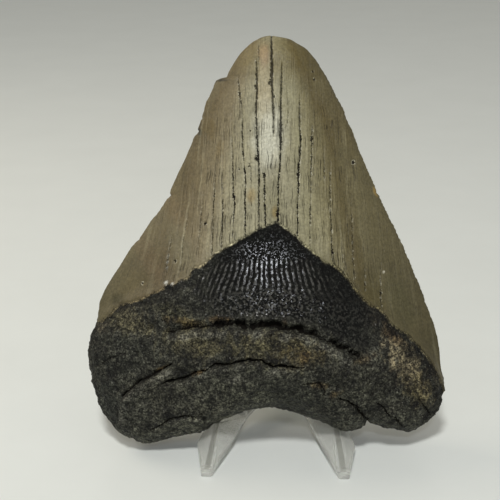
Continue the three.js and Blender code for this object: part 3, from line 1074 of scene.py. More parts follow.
    def ridges(self, enamel: Array, gloss: Array, ragged: Array, across: Array, up: Array) -> Array:
        """Finds the chevron's patch of upright ridges.

        Args:
            enamel: How far above the enamel's lower edge each place is.
            gloss: 1 on the chevron.
            ragged: Noise that frays the patch.
            across: Places to the right.
            up: Places towards the tip.

        Returns:
            How ridged each place is, from 0 to 1.
        """
        frayed = up + self.ridge_rag * ragged
        deep = smoothstep(enamel + self.ridge_depth_rag * ragged, *self.ridge_depth_range)
        deep = deep * (1 - smoothstep(enamel, *self.ridge_top_range))
        high = smoothstep(frayed + self.ridge_slope * np.abs(across), *self.ridge_low_range)
        high = high * (1 - smoothstep(frayed, *self.ridge_high_range))
        strength = self.ridge_middle.strength
        return gloss * deep * high * (1 - strength + self.ridge_middle.at(across, up))

    def colour(self, side: Side, across: Array, up: Array, enamel: Array, gloss: Array, pale: Array,
               noises: Sequence[Array]) -> Array:
        """Colours the root and the chevron, paler on the bulges and darker in the dips, partly as wear
        and partly as painted light and shade.

        Args:
            side: The face.
            across: Places to the right.
            up: Places towards the tip.
            enamel: How far above the enamel's lower edge each place is.
            gloss: 1 on the chevron.
            pale: How pale the worn lips are painted, partly as wear and partly as highlight.
            noises: The ragged noise, the flecks, the lumps and the swells.

        Returns:
            Linear colours, in rows.
        """
        ragged, flecks, lumps, swells = noises
        # Paler on the bulges, darker in the dips: wear and painted light and shade.
        varied = 1 + self.lump_wear_and_shading * lumps + self.swell_wear_and_shading * swells
        root = light_of(self.root_tone) * varied[:, None]
        dark = gloss
        if side is Side.FRONT:
            root = add_stains(root, ROOT_STAINS, across, up, ragged + self.fleck_rag * flecks)
            below = np.maximum(-enamel - 1, 0)
            dark = np.maximum(gloss, self.band_shade * np.exp(-below / self.band_shade_reach))
        root = lay_over(root, light_of(self.band_tone), dark)
        # The lips' pale tone: wear and painted highlight.
        return lay_over(root, light_of(self.worn_lit_lip_tone), pale)

    def measure(self, side: Side, across: Array, up: Array, depth: Array) -> Surface:
        """Works out one face's relief and colours.

        Args:
            side: The face.
            across: Places to the right.
            up: Places towards the tip.
            depth: The smooth face's depth there.

        Returns:
            The rise along the surface's normal, and the values for the material.
        """
        front = side is Side.FRONT
        place = np.column_stack((across, up, depth))
        enamel = self.enamel_distance(side, across, up) + self.enamel_rag * self.border_noise.at(place)
        crown = smoothstep(enamel, *self.enamel_border)
        gloss = self.band(side, across, up)
        fan = self.ridge_fan * across * (up - self.growth_level) * (1 - crown)
        line = self.growth_line(place) + gloss * (fan + self.ridge_sway * self.ridge_noise.at(place))
        grain = np.column_stack((line, up, depth))
        ragged = self.rag_noise.at(place)
        sunk, near = self.hollows(side, across, up)

        striae = self.stria_height * self.stria_noise.at(grain)
        crown_rise = self.enamel_rise + striae + self.wave_height * self.wave_noise.at(grain)

        layers = (self.pebble_noise, self.lump_noise, self.swell_noise, self.fold_noise)
        grains = [layer.at(place) for layer in layers]
        pebbles, lumps, swells, _ = grains
        ridge = np.abs(np.cos(math.pi * line / self.ridge_pitch)) - self.ridge_floor
        ridged = self.ridges(enamel, gloss, ragged, across, up)
        pitted = gloss * (1 - smoothstep(up + self.ridge_slope * np.abs(across), *self.pit_range))
        fresh = 1 - self.fresh_loss * smoothstep(across, *self.fresh_range)
        stone = sum(high * values for high, values in zip(self.stone_heights, grains))
        beads = np.clip(self.bead_level + self.bead_swing * self.bead_noise.at(place), 0, self.bead_top)
        polished = self.ridge_height * ridge * beads * ridged
        polished = polished + (self.band_pebbles + self.pit_height * pitted) * pebbles
        root_rise = stone + (polished + self.band_lumps * lumps - stone) * gloss
        pale = np.zeros(across.shape)
        if front:
            lip_rise, pale = self.lips(across, up, ragged)
            root_rise = root_rise + self.steps(across, up) + lip_rise
        root_rise = root_rise - self.collar_depth * within(-enamel, *self.collar)

        rise = root_rise + (crown_rise - root_rise) * crown - sunk
        fade = smoothstep(self.form.edge_factor(across, up, 1), *self.rim_fade)
        rise = rise * (1 - crown * (1 - fade))

        noises = (ragged, self.fleck_noise.at(place), lumps, swells)
        root_tone = self.colour(side, across, up, enamel, gloss, pale, noises)
        crown_tone = self.crown_tone(across, up, grain)
        if front:
            # The crown's stains, with its painted sheen and painted shadow.
            frayed = self.crown_stain_rag * ragged
            crown_tone = add_stains(crown_tone, CROWN_STAINS_AND_PAINTED_LIGHT, across, up, frayed)
        tone = lay_over(root_tone, crown_tone, smoothstep(enamel, *self.enamel_tone_border))
        border = np.clip(enamel, -self.farthest_border, self.farthest_border)
        zone = np.column_stack((border, gloss, np.clip(sunk, 0, self.deepest)))
        wear = np.column_stack((self.shine(side, across, up), ridged * fresh, pitted * fresh))
        return Surface(rise, tone, grain, zone, near, wear)


# Shaping helpers


def deselect_all() -> None:
    """Leaves edit mode and selects nothing, so that an operator acts on one piece alone."""
    if bpy.context.object and bpy.context.object.mode != "OBJECT":
        bpy.ops.object.mode_set(mode="OBJECT")
    bpy.ops.object.select_all(action="DESELECT")


def pick(*pieces: bpy.types.Object) -> None:
    """Selects pieces alone and makes the first one active.

    Args:
        pieces: The pieces.
    """
    deselect_all()
    for piece in pieces:
        piece.select_set(True)
    bpy.context.view_layer.objects.active = pieces[0]


@contextmanager
def edit_mode(action: str = "SELECT") -> Iterator[None]:
    """Edits the active piece, and leaves edit mode at the end.

    Args:
        action: SELECT to start with all of it selected, or DESELECT for none.

    Returns:
        A context that the edits stand in.
    """
    bpy.ops.object.mode_set(mode="EDIT")
    bpy.ops.mesh.select_all(action=action)
    yield
    bpy.ops.object.mode_set(mode="OBJECT")


def coordinates(piece: bpy.types.Object) -> Array:
    """Reads where a mesh's vertices are.

    Args:
        piece: The object that has the mesh.

    Returns:
        The places in rows, in metres.
    """
    flat = np.empty(3 * len(piece.data.vertices))
    piece.data.vertices.foreach_get("co", flat)
    return flat.reshape(-1, 3)


def move_vertices(piece: bpy.types.Object, places: Array) -> None:
    """Puts a mesh's vertices at new places."""
    piece.data.vertices.foreach_set("co", places.ravel())
    piece.data.update()


def store(piece: bpy.types.Object, name: Field, rows: Array, level: str = "POINT") -> None:
    """Keeps a row of three values at each vertex (POINT) or face (FACE) for the material."""
    layer = piece.data.attributes.new(name.value, "FLOAT_VECTOR", level)
    layer.data.foreach_set("vector", np.ascontiguousarray(rows, np.float32).ravel())


def crowd(share: Array, band: float) -> Array:
    """Draws grid lines together near both ends, where the surface turns over its rim.

    Args:
        share: The lines' places, 0 to 1.
        band: The share at each end in which they are drawn together.

    Returns:
        The new places, 0 to 1.
    """
    near = np.minimum(share, 1 - share)
    eased = np.where(near < band, near ** 2 / band, near)
    return np.where(share < 0.5, eased, 1 - eased)


# Materials


class Recipe:
    """A material or a node group that is being wired up."""

    def __init__(self, tree: bpy.types.NodeTree, group: bpy.types.NodeTree | None = None) -> None:
        """Starts a recipe.

        Args:
            tree: The tree that takes the nodes.
            group: The shared mottle, for a material.
        """
        self.tree = tree
        self.group = group
        self.place: Any = self.node("TexCoord").outputs["Object"] if group else None

    def node(self, kind: str, inputs: dict[Any, Any] | None = None, **settings: Any) -> bpy.types.Node:
        """Adds a node.

        Args:
            kind: The node's type, without the ShaderNode prefix.
            inputs: Values or sockets for its inputs, by name or number.
            settings: The node's own options.

        Returns:
            The node.
        """
        made = self.tree.nodes.new("ShaderNode" + kind)
        for name, value in settings.items():
            setattr(made, name, value)
        for name, value in (inputs or {}).items():
            self.feed(made.inputs[name], value)
        return made

    def feed(self, socket: bpy.types.NodeSocket, value: Any) -> None:
        """Links a socket to an input, or sets the input's own value.

        Args:
            socket: The input.
            value: The socket to link, or the value to set.
        """
        if isinstance(value, bpy.types.NodeSocket):
            self.tree.links.new(value, socket)
        else:
            socket.default_value = value

    def math(self, operation: str, first: Any, second: Any = 0.0) -> bpy.types.NodeSocket:
        """Adds a node that works out one or two numbers."""
        return self.node("Math", {0: first, 1: second}, operation=operation).outputs[0]

    def times(self, first: Any, *others: Any) -> bpy.types.NodeSocket:
        """Multiplies numbers.

        Args:
            first: The first number.
            others: The others.

        Returns:
            Their product.
        """
        for other in others:
            first = self.math("MULTIPLY", first, other)
        return first

    def plus(self, first: Any, second: Any) -> bpy.types.NodeSocket:
        """Adds two numbers."""
        return self.math("ADD", first, second)

    def minus(self, first: Any, second: Any) -> bpy.types.NodeSocket:
        """Takes the second number from the first."""
        return self.math("SUBTRACT", first, second)

    def most(self, first: Any, second: Any) -> bpy.types.NodeSocket:
        """Picks the larger of two numbers."""
        return self.math("MAXIMUM", first, second)

    def stretch(self, vector: Any, scale: tuple[float, float, float]) -> bpy.types.NodeSocket:
        """Multiplies a vector by a scale."""
        return self.node("VectorMath", {0: vector, 1: scale}, operation="MULTIPLY").outputs[0]

    def ease(self, value: Any, low: float, high: float, start: Any = 0.0, end: Any = 1.0) -> Any:
        """Maps low to high onto start to end, smoothly."""
        inputs = {"Value": value, "From Min": low, "From Max": high, "To Min": start, "To Max": end}
        return self.node("MapRange", inputs, interpolation_type="SMOOTHSTEP").outputs[0]

    def noise(self, vector: Any, scale: float, detail: float, roughness: float = 0.5) -> Any:
        """Adds fractal noise from 0 to 1."""
        inputs = {"Vector": vector, "Scale": scale, "Detail": detail, "Roughness": roughness}
        return self.node("TexNoise", inputs).outputs[0]

    def lumps(self, size: float, detail: float) -> Any:
        """Adds noise whose lumps have a size in millimetres."""
        return self.noise(self.place, 1 / (size * MM), detail)

    def mottle(self, size: float, contrast: float) -> Any:
        """Places the shared mottle, whose grains have a size in millimetres."""
        inputs = {"Place": self.place, "Size mm": size, "Contrast": contrast}
        return self.node("Group", inputs, node_tree=self.group).outputs

    def strands(self, grain: Any, along: float, scale: float, detail: float, roughness: float) -> Any:
        """Adds noise that is drawn out along the growth lines."""
        return self.noise(self.stretch(grain, (1.0, along, 0.0)), scale, detail, roughness)

    def mix(self, share: Any, first: Any, second: Any, blend: str = "MIX") -> bpy.types.NodeSocket:
        """Mixes two colours."""
        made = self.node("Mix", {0: share, 6: first, 7: second}, data_type="RGBA", blend_type=blend)
        return made.outputs[2]

    def shade(self, colour: Any, value: Any) -> bpy.types.NodeSocket:
        """Multiplies a colour by a number."""
        grey = self.node("CombineXYZ", {0: value, 1: value, 2: value}).outputs[0]
        return self.mix(1.0, colour, grey, "MULTIPLY")

    def blend(self, share: Any, first: Any, second: Any) -> bpy.types.NodeSocket:
        """Mixes two numbers."""
        return self.node("Mix", {0: share, 2: first, 3: second}, data_type="FLOAT").outputs[0]

    def read(self, name: Field) -> bpy.types.NodeSocket:
        """Reads the three values that the mesh carries under a name."""
        return self.node("Attribute", attribute_name=name.value).outputs["Vector"]

    def parts(self, vector: Any) -> tuple[Any, Any, Any]:
        """Parts a vector into its three numbers."""
        return tuple(self.node("SeparateXYZ", {0: vector}).outputs)

    def bump(self, shader: bpy.types.Node, strength: float, distance: float, height: Any) -> None:
        """Gives a shader relief from a height, whose full reach is a distance in millimetres."""
        inputs = {"Strength": strength, "Distance": distance * MM, "Height": height}
        self.feed(shader.inputs["Normal"], self.node("Bump", inputs).outputs[0])


def start_material(name: str,
                   group: bpy.types.NodeTree) -> tuple[bpy.types.Material, Recipe, bpy.types.Node]:
    """Makes an empty node material.

    Args:
        name: The material's name.
        group: The shared mottle.

    Returns:
        The material, its recipe and its shader.
    """
    material = bpy.data.materials.new(name)
    material.use_nodes = True
    shader = material.node_tree.nodes["Principled BSDF"]
    return material, Recipe(material.node_tree, group), shader


def mottle_group() -> bpy.types.NodeTree:
    """Builds the shared mottle: grains of a chosen size that vary a value about 1.

    Returns:
        The node group.
    """
    tree = bpy.data.node_groups.new("mottle", "ShaderNodeTree")
    for name, kind in (("Place", "NodeSocketVector"), ("Size mm", "NodeSocketFloat"),
                       ("Contrast", "NodeSocketFloat")):
        tree.interface.new_socket(name, in_out="INPUT", socket_type=kind)
    for name in ("Value", "Height"):
        tree.interface.new_socket(name, in_out="OUTPUT", socket_type="NodeSocketFloat")
    recipe = Recipe(tree)
    given = tree.nodes.new("NodeGroupInput").outputs
    scale = recipe.math("DIVIDE", 1 / MM, given["Size mm"])
    grains = recipe.noise(given["Place"], scale, MOTTLE_DETAIL, MOTTLE_ROUGHNESS)
    swing = recipe.times(recipe.minus(grains, 0.5), recipe.times(given["Contrast"], MOTTLE_SWING))
    result = tree.nodes.new("NodeGroupOutput")
    recipe.feed(result.inputs["Value"], recipe.most(recipe.plus(swing, 1.0), MOTTLE_DARKEST))
    recipe.feed(result.inputs["Height"], grains)
    return tree


@dataclass(frozen=True)
class FossilFinish:
    """Worn enamel, polished black chevron and gritty root, in one material.

    Lengths are millimetres. A range holds where a mark comes in, and an ease adds what it starts and
    ends at. A mottle's pair is its grains' size and contrast. Strands hold their stretch along the
    growth lines, scale, detail and roughness. A scale counts lumps in a metre, or in a millimetre
    where it follows the growth lines.
    """

    ridge_pitch: float
    # The near-black of the cracks, deep hollows and pores, painted there as their shade; the crown's
    # dark hairlines take it too.
    crack_colour: str = "110d07"
    streak_dark: str = "3a3424"
    streak_light: str = "cfc8a6"
    # A pale colour painted in spots along the cracks' edges: painted glints.
    crack_glint_light: str = "d8d3bc"
    grit_light: str = "a2a096"
    specular: float = 0.24
    coat_roughness: float = 0.22
    coat_refraction: float = 1.7
    enamel_roughness: float = 0.38
    enamel_polish: float = 0.26
    band_roughness: float = 0.95
    root_roughness: float = 0.66
    grit_smoothness: float = 0.12
    hollow_roughness: float = 0.5
    border_fray: float = 0.5
    border_scale: float = 1400.0
    cloud: Pair = (6.0, 0.16)
    speckle: Pair = (0.8, 0.3)
    coarse_grains: Pair = (4.5, 1.1)
    fine_grains: Pair = (0.55, 1.7)
    broad_lines: Strands = (0.045, 0.55, 4, 0.6)
    fine_lines: Strands = (0.03, 2.2, 4, 0.65)
    hair_lines: Strands = (0.02, 3.2, 2, 0.5)
    break_scale: float = 0.25
    border: Range = (0.1, 0.4)
    crack_scale: float = 1900.0
    crack_rag: float = 1.1
    crack_edge: Range = (-0.06, 0.1)
    crack_cut: Range = (0.22, 0.48)
    crack_fine: Range = (0.01, 0.16)
    crack_drop: float = 0.6
    high_crack: float = 0.84
    high_crack_range: Range = (84, 108)
    # Spots along the cracks' edges that take painted glints, and how far they reach.
    glint_spot_scale: float = 1100.0
    chips: Range = (0.52, 0.62)
    chip_reach: Range = (0.12, 0.5)
    crack_glint_strength: float = 0.5
    # Deep hollows are darkened towards the crack colour as painted shade.
    deep_range: Range = (0.8, 2.4)
    deep_darkness: float = 0.94
    relief: float = 0.6
    streak_reach: Range = (14, 38)
    streak_side_share: float = 0.3
    streak_height_range: Range = (116, 92)
    streak_tip_share: float = 0.25
    streaks: Range = (0.5, 0.72)
    streak_strength: float = 0.6
    bright_streaks: Range = (0.52, 0.75)
    bright_strength: float = 0.3
    hairs: Range = (0.57, 0.67)
    hair_breaks: Range = (0.42, 0.6)
    hair_strength: float = 0.75
    hair_depth: float = 0.35
    stria_height: float = 0.35
    speckle_height: float = 0.18
    sparkle_size: float = 0.6
    sparkle_height: float = 0.35
    pit_size: float = 0.8
    dot_size: float = 0.55
    dot_height: float = 0.2
    dots: Ease = (0.54, 0.66, 0.0, 0.95)
    pit_height: Ease = (0.0, 1.0, 0.06, 0.5)
    worn_and_glinting_pits: Range = (0.5, 0.62)
    bead_stretch: tuple[float, float, float] = (1.0, 0.7, 0.3)
    bead_scale: float = 1.5
    bead_height: Ease = (0.35, 0.65, 0.16, 0.3)
    bead_light: Ease = (0.42, 0.6, 0.03, 0.95)
    bead_wear_and_glint: tuple[float, float, float] = (0.4, 0.62, 0.02)
    ridged_range: Range = (0.0, 0.3)
    shine_light: Ease = (0.0, 1.0, 0.3, 1.0)
    ridge_edge: Range = (0.3, 0.95)
    ridge_crest: Range = (0.62, 0.98)
    # Paleness of the chevron's crests and bump tops: wear, and painted highlight for their glints.
    wear_and_glint_share: float = 0.13
    lump_size: float = 1.2
    lump_height: float = 2.0
    # The root's tone follows its relief: darker in the low parts as painted shade, lighter on the high
    # parts as painted highlight.
    hollows: Ease = (0.36, 0.6, 0.4, 1.5)
    # Dark pores, darkened as painted shade in the pits.
    pores: Range = (0.62, 0.7)
    pore_size: float = 0.8
    pore_shade_strength: float = 0.6
    pore_depth: float = 0.5
    grit: Range = (0.6, 0.72)
    grit_strength: float = 0.28
    grit_on_band: Ease = (0.0, 1.0, 1.0, 0.25)

    def build(self, group: bpy.types.NodeTree) -> bpy.types.Material:
        """Wires the material.

        Args:
            group: The shared mottle.

        Returns:
            The material.
        """
        material, recipe, shader = start_material("fossil_tooth", group)
        tone, grain = recipe.read(Field.TONE), recipe.read(Field.GRAIN)
        edge, gloss, sunk = recipe.parts(recipe.read(Field.ZONE))
        wear = recipe.parts(recipe.read(Field.WEAR))

        fray = recipe.times(recipe.noise(recipe.place, self.border_scale, 3), self.border_fray)
        crown = recipe.ease(recipe.plus(edge, fray), *self.border)

        crack, rim = self.crack_masks(recipe)
        crown_colour, crown_height = self.enamel(recipe, tone, grain, rim, wear[0])
        root_colour, root_height, grit = self.stone(recipe, tone, gloss)
        band_height, lustre, worn = self.band(recipe, grain, wear)
        # The chevron's pale crests and bump tops: wear and painted highlight.
        root_colour = recipe.mix(recipe.times(worn, gloss), root_colour, srgb(self.grit_light))

        colour = recipe.mix(crown, root_colour, crown_colour)
        _, up, _ = recipe.parts(grain)
        # Cracks and deep hollows darkened towards the crack colour: painted shade.
        filled = recipe.times(crack, recipe.ease(up, *self.high_crack_range, 1.0, self.high_crack))
        hollow = recipe.most(filled, recipe.ease(sunk, *self.deep_range, 0.0, self.deep_darkness))
        colour = recipe.mix(hollow, colour, srgb(self.crack_colour))
        recipe.feed(shader.inputs["Base Color"], colour)
        shader.inputs["Specular IOR Level"].default_value = self.specular

        root_rough = recipe.blend(gloss, self.root_roughness, self.band_roughness)
        varied = recipe.plus(root_rough, recipe.times(grit, -self.grit_smoothness))
        enamel_rough = recipe.ease(wear[0], 0, 1, self.enamel_roughness, self.enamel_polish)
        rough = recipe.blend(crown, varied, enamel_rough)
        rough = recipe.plus(rough, recipe.ease(hollow, 0, 1, 0, self.hollow_roughness))
        recipe.feed(shader.inputs["Roughness"], rough)

        bare = recipe.times(gloss, recipe.minus(1.0, crown))
        recipe.feed(shader.inputs["Coat Weight"], recipe.times(lustre, bare))
        shader.inputs["Coat Roughness"].default_value = self.coat_roughness
        shader.inputs["Coat IOR"].default_value = self.coat_refraction

        height = recipe.blend(crown, recipe.blend(gloss, root_height, band_height), crown_height)
        recipe.bump(shader, 1.0, self.relief, recipe.minus(height, recipe.times(crack, self.crack_drop)))
        return material

    def crack_masks(self, recipe: Recipe) -> tuple[Any, Any]:
        """Finds the cracks, with ragged edges, and the spots beside them that take painted glints.

        Args:
            recipe: The material that is being wired up.

        Returns:
            1 inside a crack, and 1 on the spots of painted glint along its edges.
        """
        beside, distance, half = recipe.parts(recipe.read(Field.CRACK))
        centred = recipe.minus(recipe.noise(recipe.place, self.crack_scale, 2), 0.5)
        off = recipe.plus(recipe.math("ABSOLUTE", beside), recipe.times(centred, self.crack_rag))
        past = recipe.minus(off, half)
        inside = recipe.ease(past, *self.crack_edge, 1.0, 0.0)
        near = recipe.ease(recipe.minus(distance, half), *self.crack_cut, 1.0, 0.0)
        real = recipe.times(near, recipe.ease(half, *self.crack_fine))
        # Spots along the cracks' edges that take a painted glint.
        glint_spots = recipe.ease(recipe.noise(recipe.place, self.glint_spot_scale, 1), *self.chips)
        rim = recipe.times(recipe.ease(past, *self.chip_reach, 1.0, 0.0), glint_spots)
        return recipe.times(inside, real), recipe.times(rim, real)

    def enamel(self, recipe: Recipe, tone: Any, grain: Any, rim: Any, shine: Any) -> tuple[Any, Any]:
        """Lays growth lines, hairlines, speckle and painted glints along the cracks over the crown's
        tone.

        Args:
            recipe: The material that is being wired up.
            tone: The crown's colour.
            grain: The place along and across the growth lines.
            rim: 1 on the spots of painted glint along the cracks' edges.
            shine: How polished the surface is.

        Returns:
            The colour and the height.
        """
        broad = recipe.strands(grain, *self.broad_lines)
        fine = recipe.strands(grain, *self.fine_lines)
        across, up, _ = recipe.parts(grain)
        aside = recipe.math("ABSOLUTE", recipe.minus(across, 1.0))
        centred = recipe.ease(aside, *self.streak_reach, 1.0, self.streak_side_share)
        lower = recipe.ease(up, *self.streak_height_range, self.streak_tip_share, 1.0)
        amount = recipe.times(centred, lower)
        dark = recipe.times(recipe.ease(fine, *self.streaks), amount, self.streak_strength)
        light = recipe.times(recipe.ease(broad, *self.bright_streaks), amount, self.bright_strength)
        colour = recipe.mix(light, tone, srgb(self.streak_light))
        colour = recipe.mix(dark, colour, srgb(self.streak_dark))
        cloud = recipe.mottle(*self.cloud)
        speckle = recipe.mottle(*self.speckle)
        colour = recipe.shade(colour, recipe.times(cloud["Value"], speckle["Value"]))
        # Painted glints along the cracks' edges.
        colour = recipe.mix(recipe.times(rim, self.crack_glint_strength), colour, srgb(self.crack_glint_light))
        hair = recipe.strands(grain, *self.hair_lines)
        broken = recipe.ease(recipe.noise(grain, self.break_scale, 2), *self.hair_breaks)
        lines = recipe.times(recipe.ease(hair, *self.hairs), broken, amount)
        colour = recipe.mix(recipe.times(lines, self.hair_strength), colour, srgb(self.crack_colour))
        sparkle = recipe.times(recipe.lumps(self.sparkle_size, 0.5), shine, self.sparkle_height)
        speckled = recipe.times(speckle["Height"], self.speckle_height)
        height = recipe.plus(recipe.times(fine, self.stria_height), speckled)
        height = recipe.minus(recipe.plus(height, sparkle), recipe.times(lines, self.hair_depth))
        return colour, height

    def band(self, recipe: Recipe, grain: Any, wear: tuple[Any, Any, Any]) -> tuple[Any, Any, Any]:
        """Shapes the chevron's beaded upright ridges, and the pitting around them.

        Args:
            recipe: The material that is being wired up.
            grain: The place along and across the growth lines.
            wear: How polished, how ridged and how pitted the surface is.

        Returns:
            The height, the lustre and how pale the crests and bump tops are painted, partly as wear and
            partly as a highlight for their glints.
        """
        shine, ridged, pitted = wear
        across, _, _ = recipe.parts(grain)
        turn = recipe.times(across, math.pi / self.ridge_pitch)
        swing = recipe.math("ABSOLUTE", recipe.math("COSINE", turn))
        crest = recipe.times(recipe.ease(swing, *self.ridge_edge), ridged)
        beads = recipe.noise(recipe.stretch(grain, self.bead_stretch), self.bead_scale, 1)
        pitting = recipe.lumps(self.pit_size, 0.8)
        speckle = recipe.lumps(self.dot_size, 0.8)
        pits = recipe.times(pitting, recipe.ease(pitted, *self.pit_height))
        fine = recipe.plus(pits, recipe.times(speckle, self.dot_height))
        beaded = recipe.times(crest, recipe.ease(beads, *self.bead_height))
        seen = recipe.ease(ridged, *self.ridged_range)
        dots = recipe.times(recipe.ease(speckle, *self.dots), recipe.minus(1.0, seen))
        crests = recipe.times(recipe.ease(swing, *self.ridge_crest), seen)
        lit = recipe.times(crests, recipe.ease(beads, *self.bead_light))
        lustre = recipe.times(recipe.ease(shine, *self.shine_light), recipe.most(lit, dots))
        # Paler crests and bump tops: wear, and painted highlight for their glints.
        bumps = recipe.ease(pitting, *self.worn_and_glinting_pits, 0.0, self.wear_and_glint_share)
        rubbed_and_glinting = recipe.times(crests, recipe.ease(beads, *self.bead_wear_and_glint, self.wear_and_glint_share))
        worn = recipe.most(rubbed_and_glinting, recipe.times(bumps, pitted))
        return recipe.plus(beaded, fine), lustre, worn

    def stone(self, recipe: Recipe, tone: Any, gloss: Any) -> tuple[Any, Any, Any]:
        """Lays dark grains, with pale ones among them, and pores over the root's tone; darkens the pores
        and the low parts of the relief as painted shade, and lightens its high parts as painted
        highlight.

        Args:
            recipe: The material that is being wired up.
            tone: The root's colour.
            gloss: 1 on the chevron.

        Returns:
            The colour, the height and the pale grit.
        """
        coarse = recipe.mottle(*self.coarse_grains)
        grains = recipe.mottle(*self.fine_grains)
        lumps = recipe.lumps(self.lump_size, 2.0)
        # Painted shade in the relief's low parts and painted highlight on its high parts.
        hollows = recipe.ease(lumps, *self.hollows)
        colour = recipe.shade(tone, recipe.times(coarse["Value"], grains["Value"], hollows))
        pale = recipe.ease(grains["Height"], *self.grit)
        strength = recipe.times(pale, recipe.ease(gloss, *self.grit_on_band), self.grit_strength)
        colour = recipe.mix(strength, colour, srgb(self.grit_light))
        # Dark pores: painted shade in the pits.
        pore = recipe.ease(recipe.lumps(self.pore_size, 1.5), *self.pores)
        colour = recipe.mix(recipe.times(pore, self.pore_shade_strength), colour, srgb(self.crack_colour))
        relief = recipe.times(lumps, self.lump_height)
        return colour, recipe.minus(relief, recipe.times(pore, self.pore_depth)), pale


@dataclass(frozen=True)
class ClearPlasticFinish:
    """Clear moulded plastic, faintly clouded."""

    tint: str = "fbfcf8"
    # The crests are tinted darker as painted shade, and the rounded edges white as painted highlight.
    crest_shade_tint: str = "c6c6c0"
    edge_highlight_tint: str = "ffffff"
    roughness: float = 0.12
    smoothest: float = 0.02
    refraction: float = 1.46
    clearness: float = 0.74
    ripple: Pair = (9.0, 0.4)
    ripple_strength: float = 0.3
    ripple_depth: float = 0.2
    handling: Pair = (2.5, 0.5)

    def build(self, group: bpy.types.NodeTree) -> bpy.types.Material:
        """Wires the material.

        Args:
            group: The shared mottle.

        Returns:
            The material.
        """
        material, recipe, shader = start_material("clear_plastic", group)
        ripple = recipe.mottle(*self.ripple)
        handling = recipe.mottle(*self.handling)
        rough = recipe.times(handling["Value"], self.roughness)
        crest, rounded, _ = recipe.parts(recipe.read(Field.FACET))
        # Painted shade on the crests and painted highlight on the rounded edges.
        tint = recipe.mix(crest, srgb(self.tint), srgb(self.crest_shade_tint))
        recipe.feed(shader.inputs["Base Color"], recipe.mix(rounded, tint, srgb(self.edge_highlight_tint)))
        recipe.feed(shader.inputs["Roughness"], recipe.most(rough, self.smoothest))
        recipe.bump(shader, self.ripple_strength, self.ripple_depth, ripple["Height"])
        shader.inputs["Transmission Weight"].default_value = self.clearness
        shader.inputs["IOR"].default_value = self.refraction
        return material


# The pieces


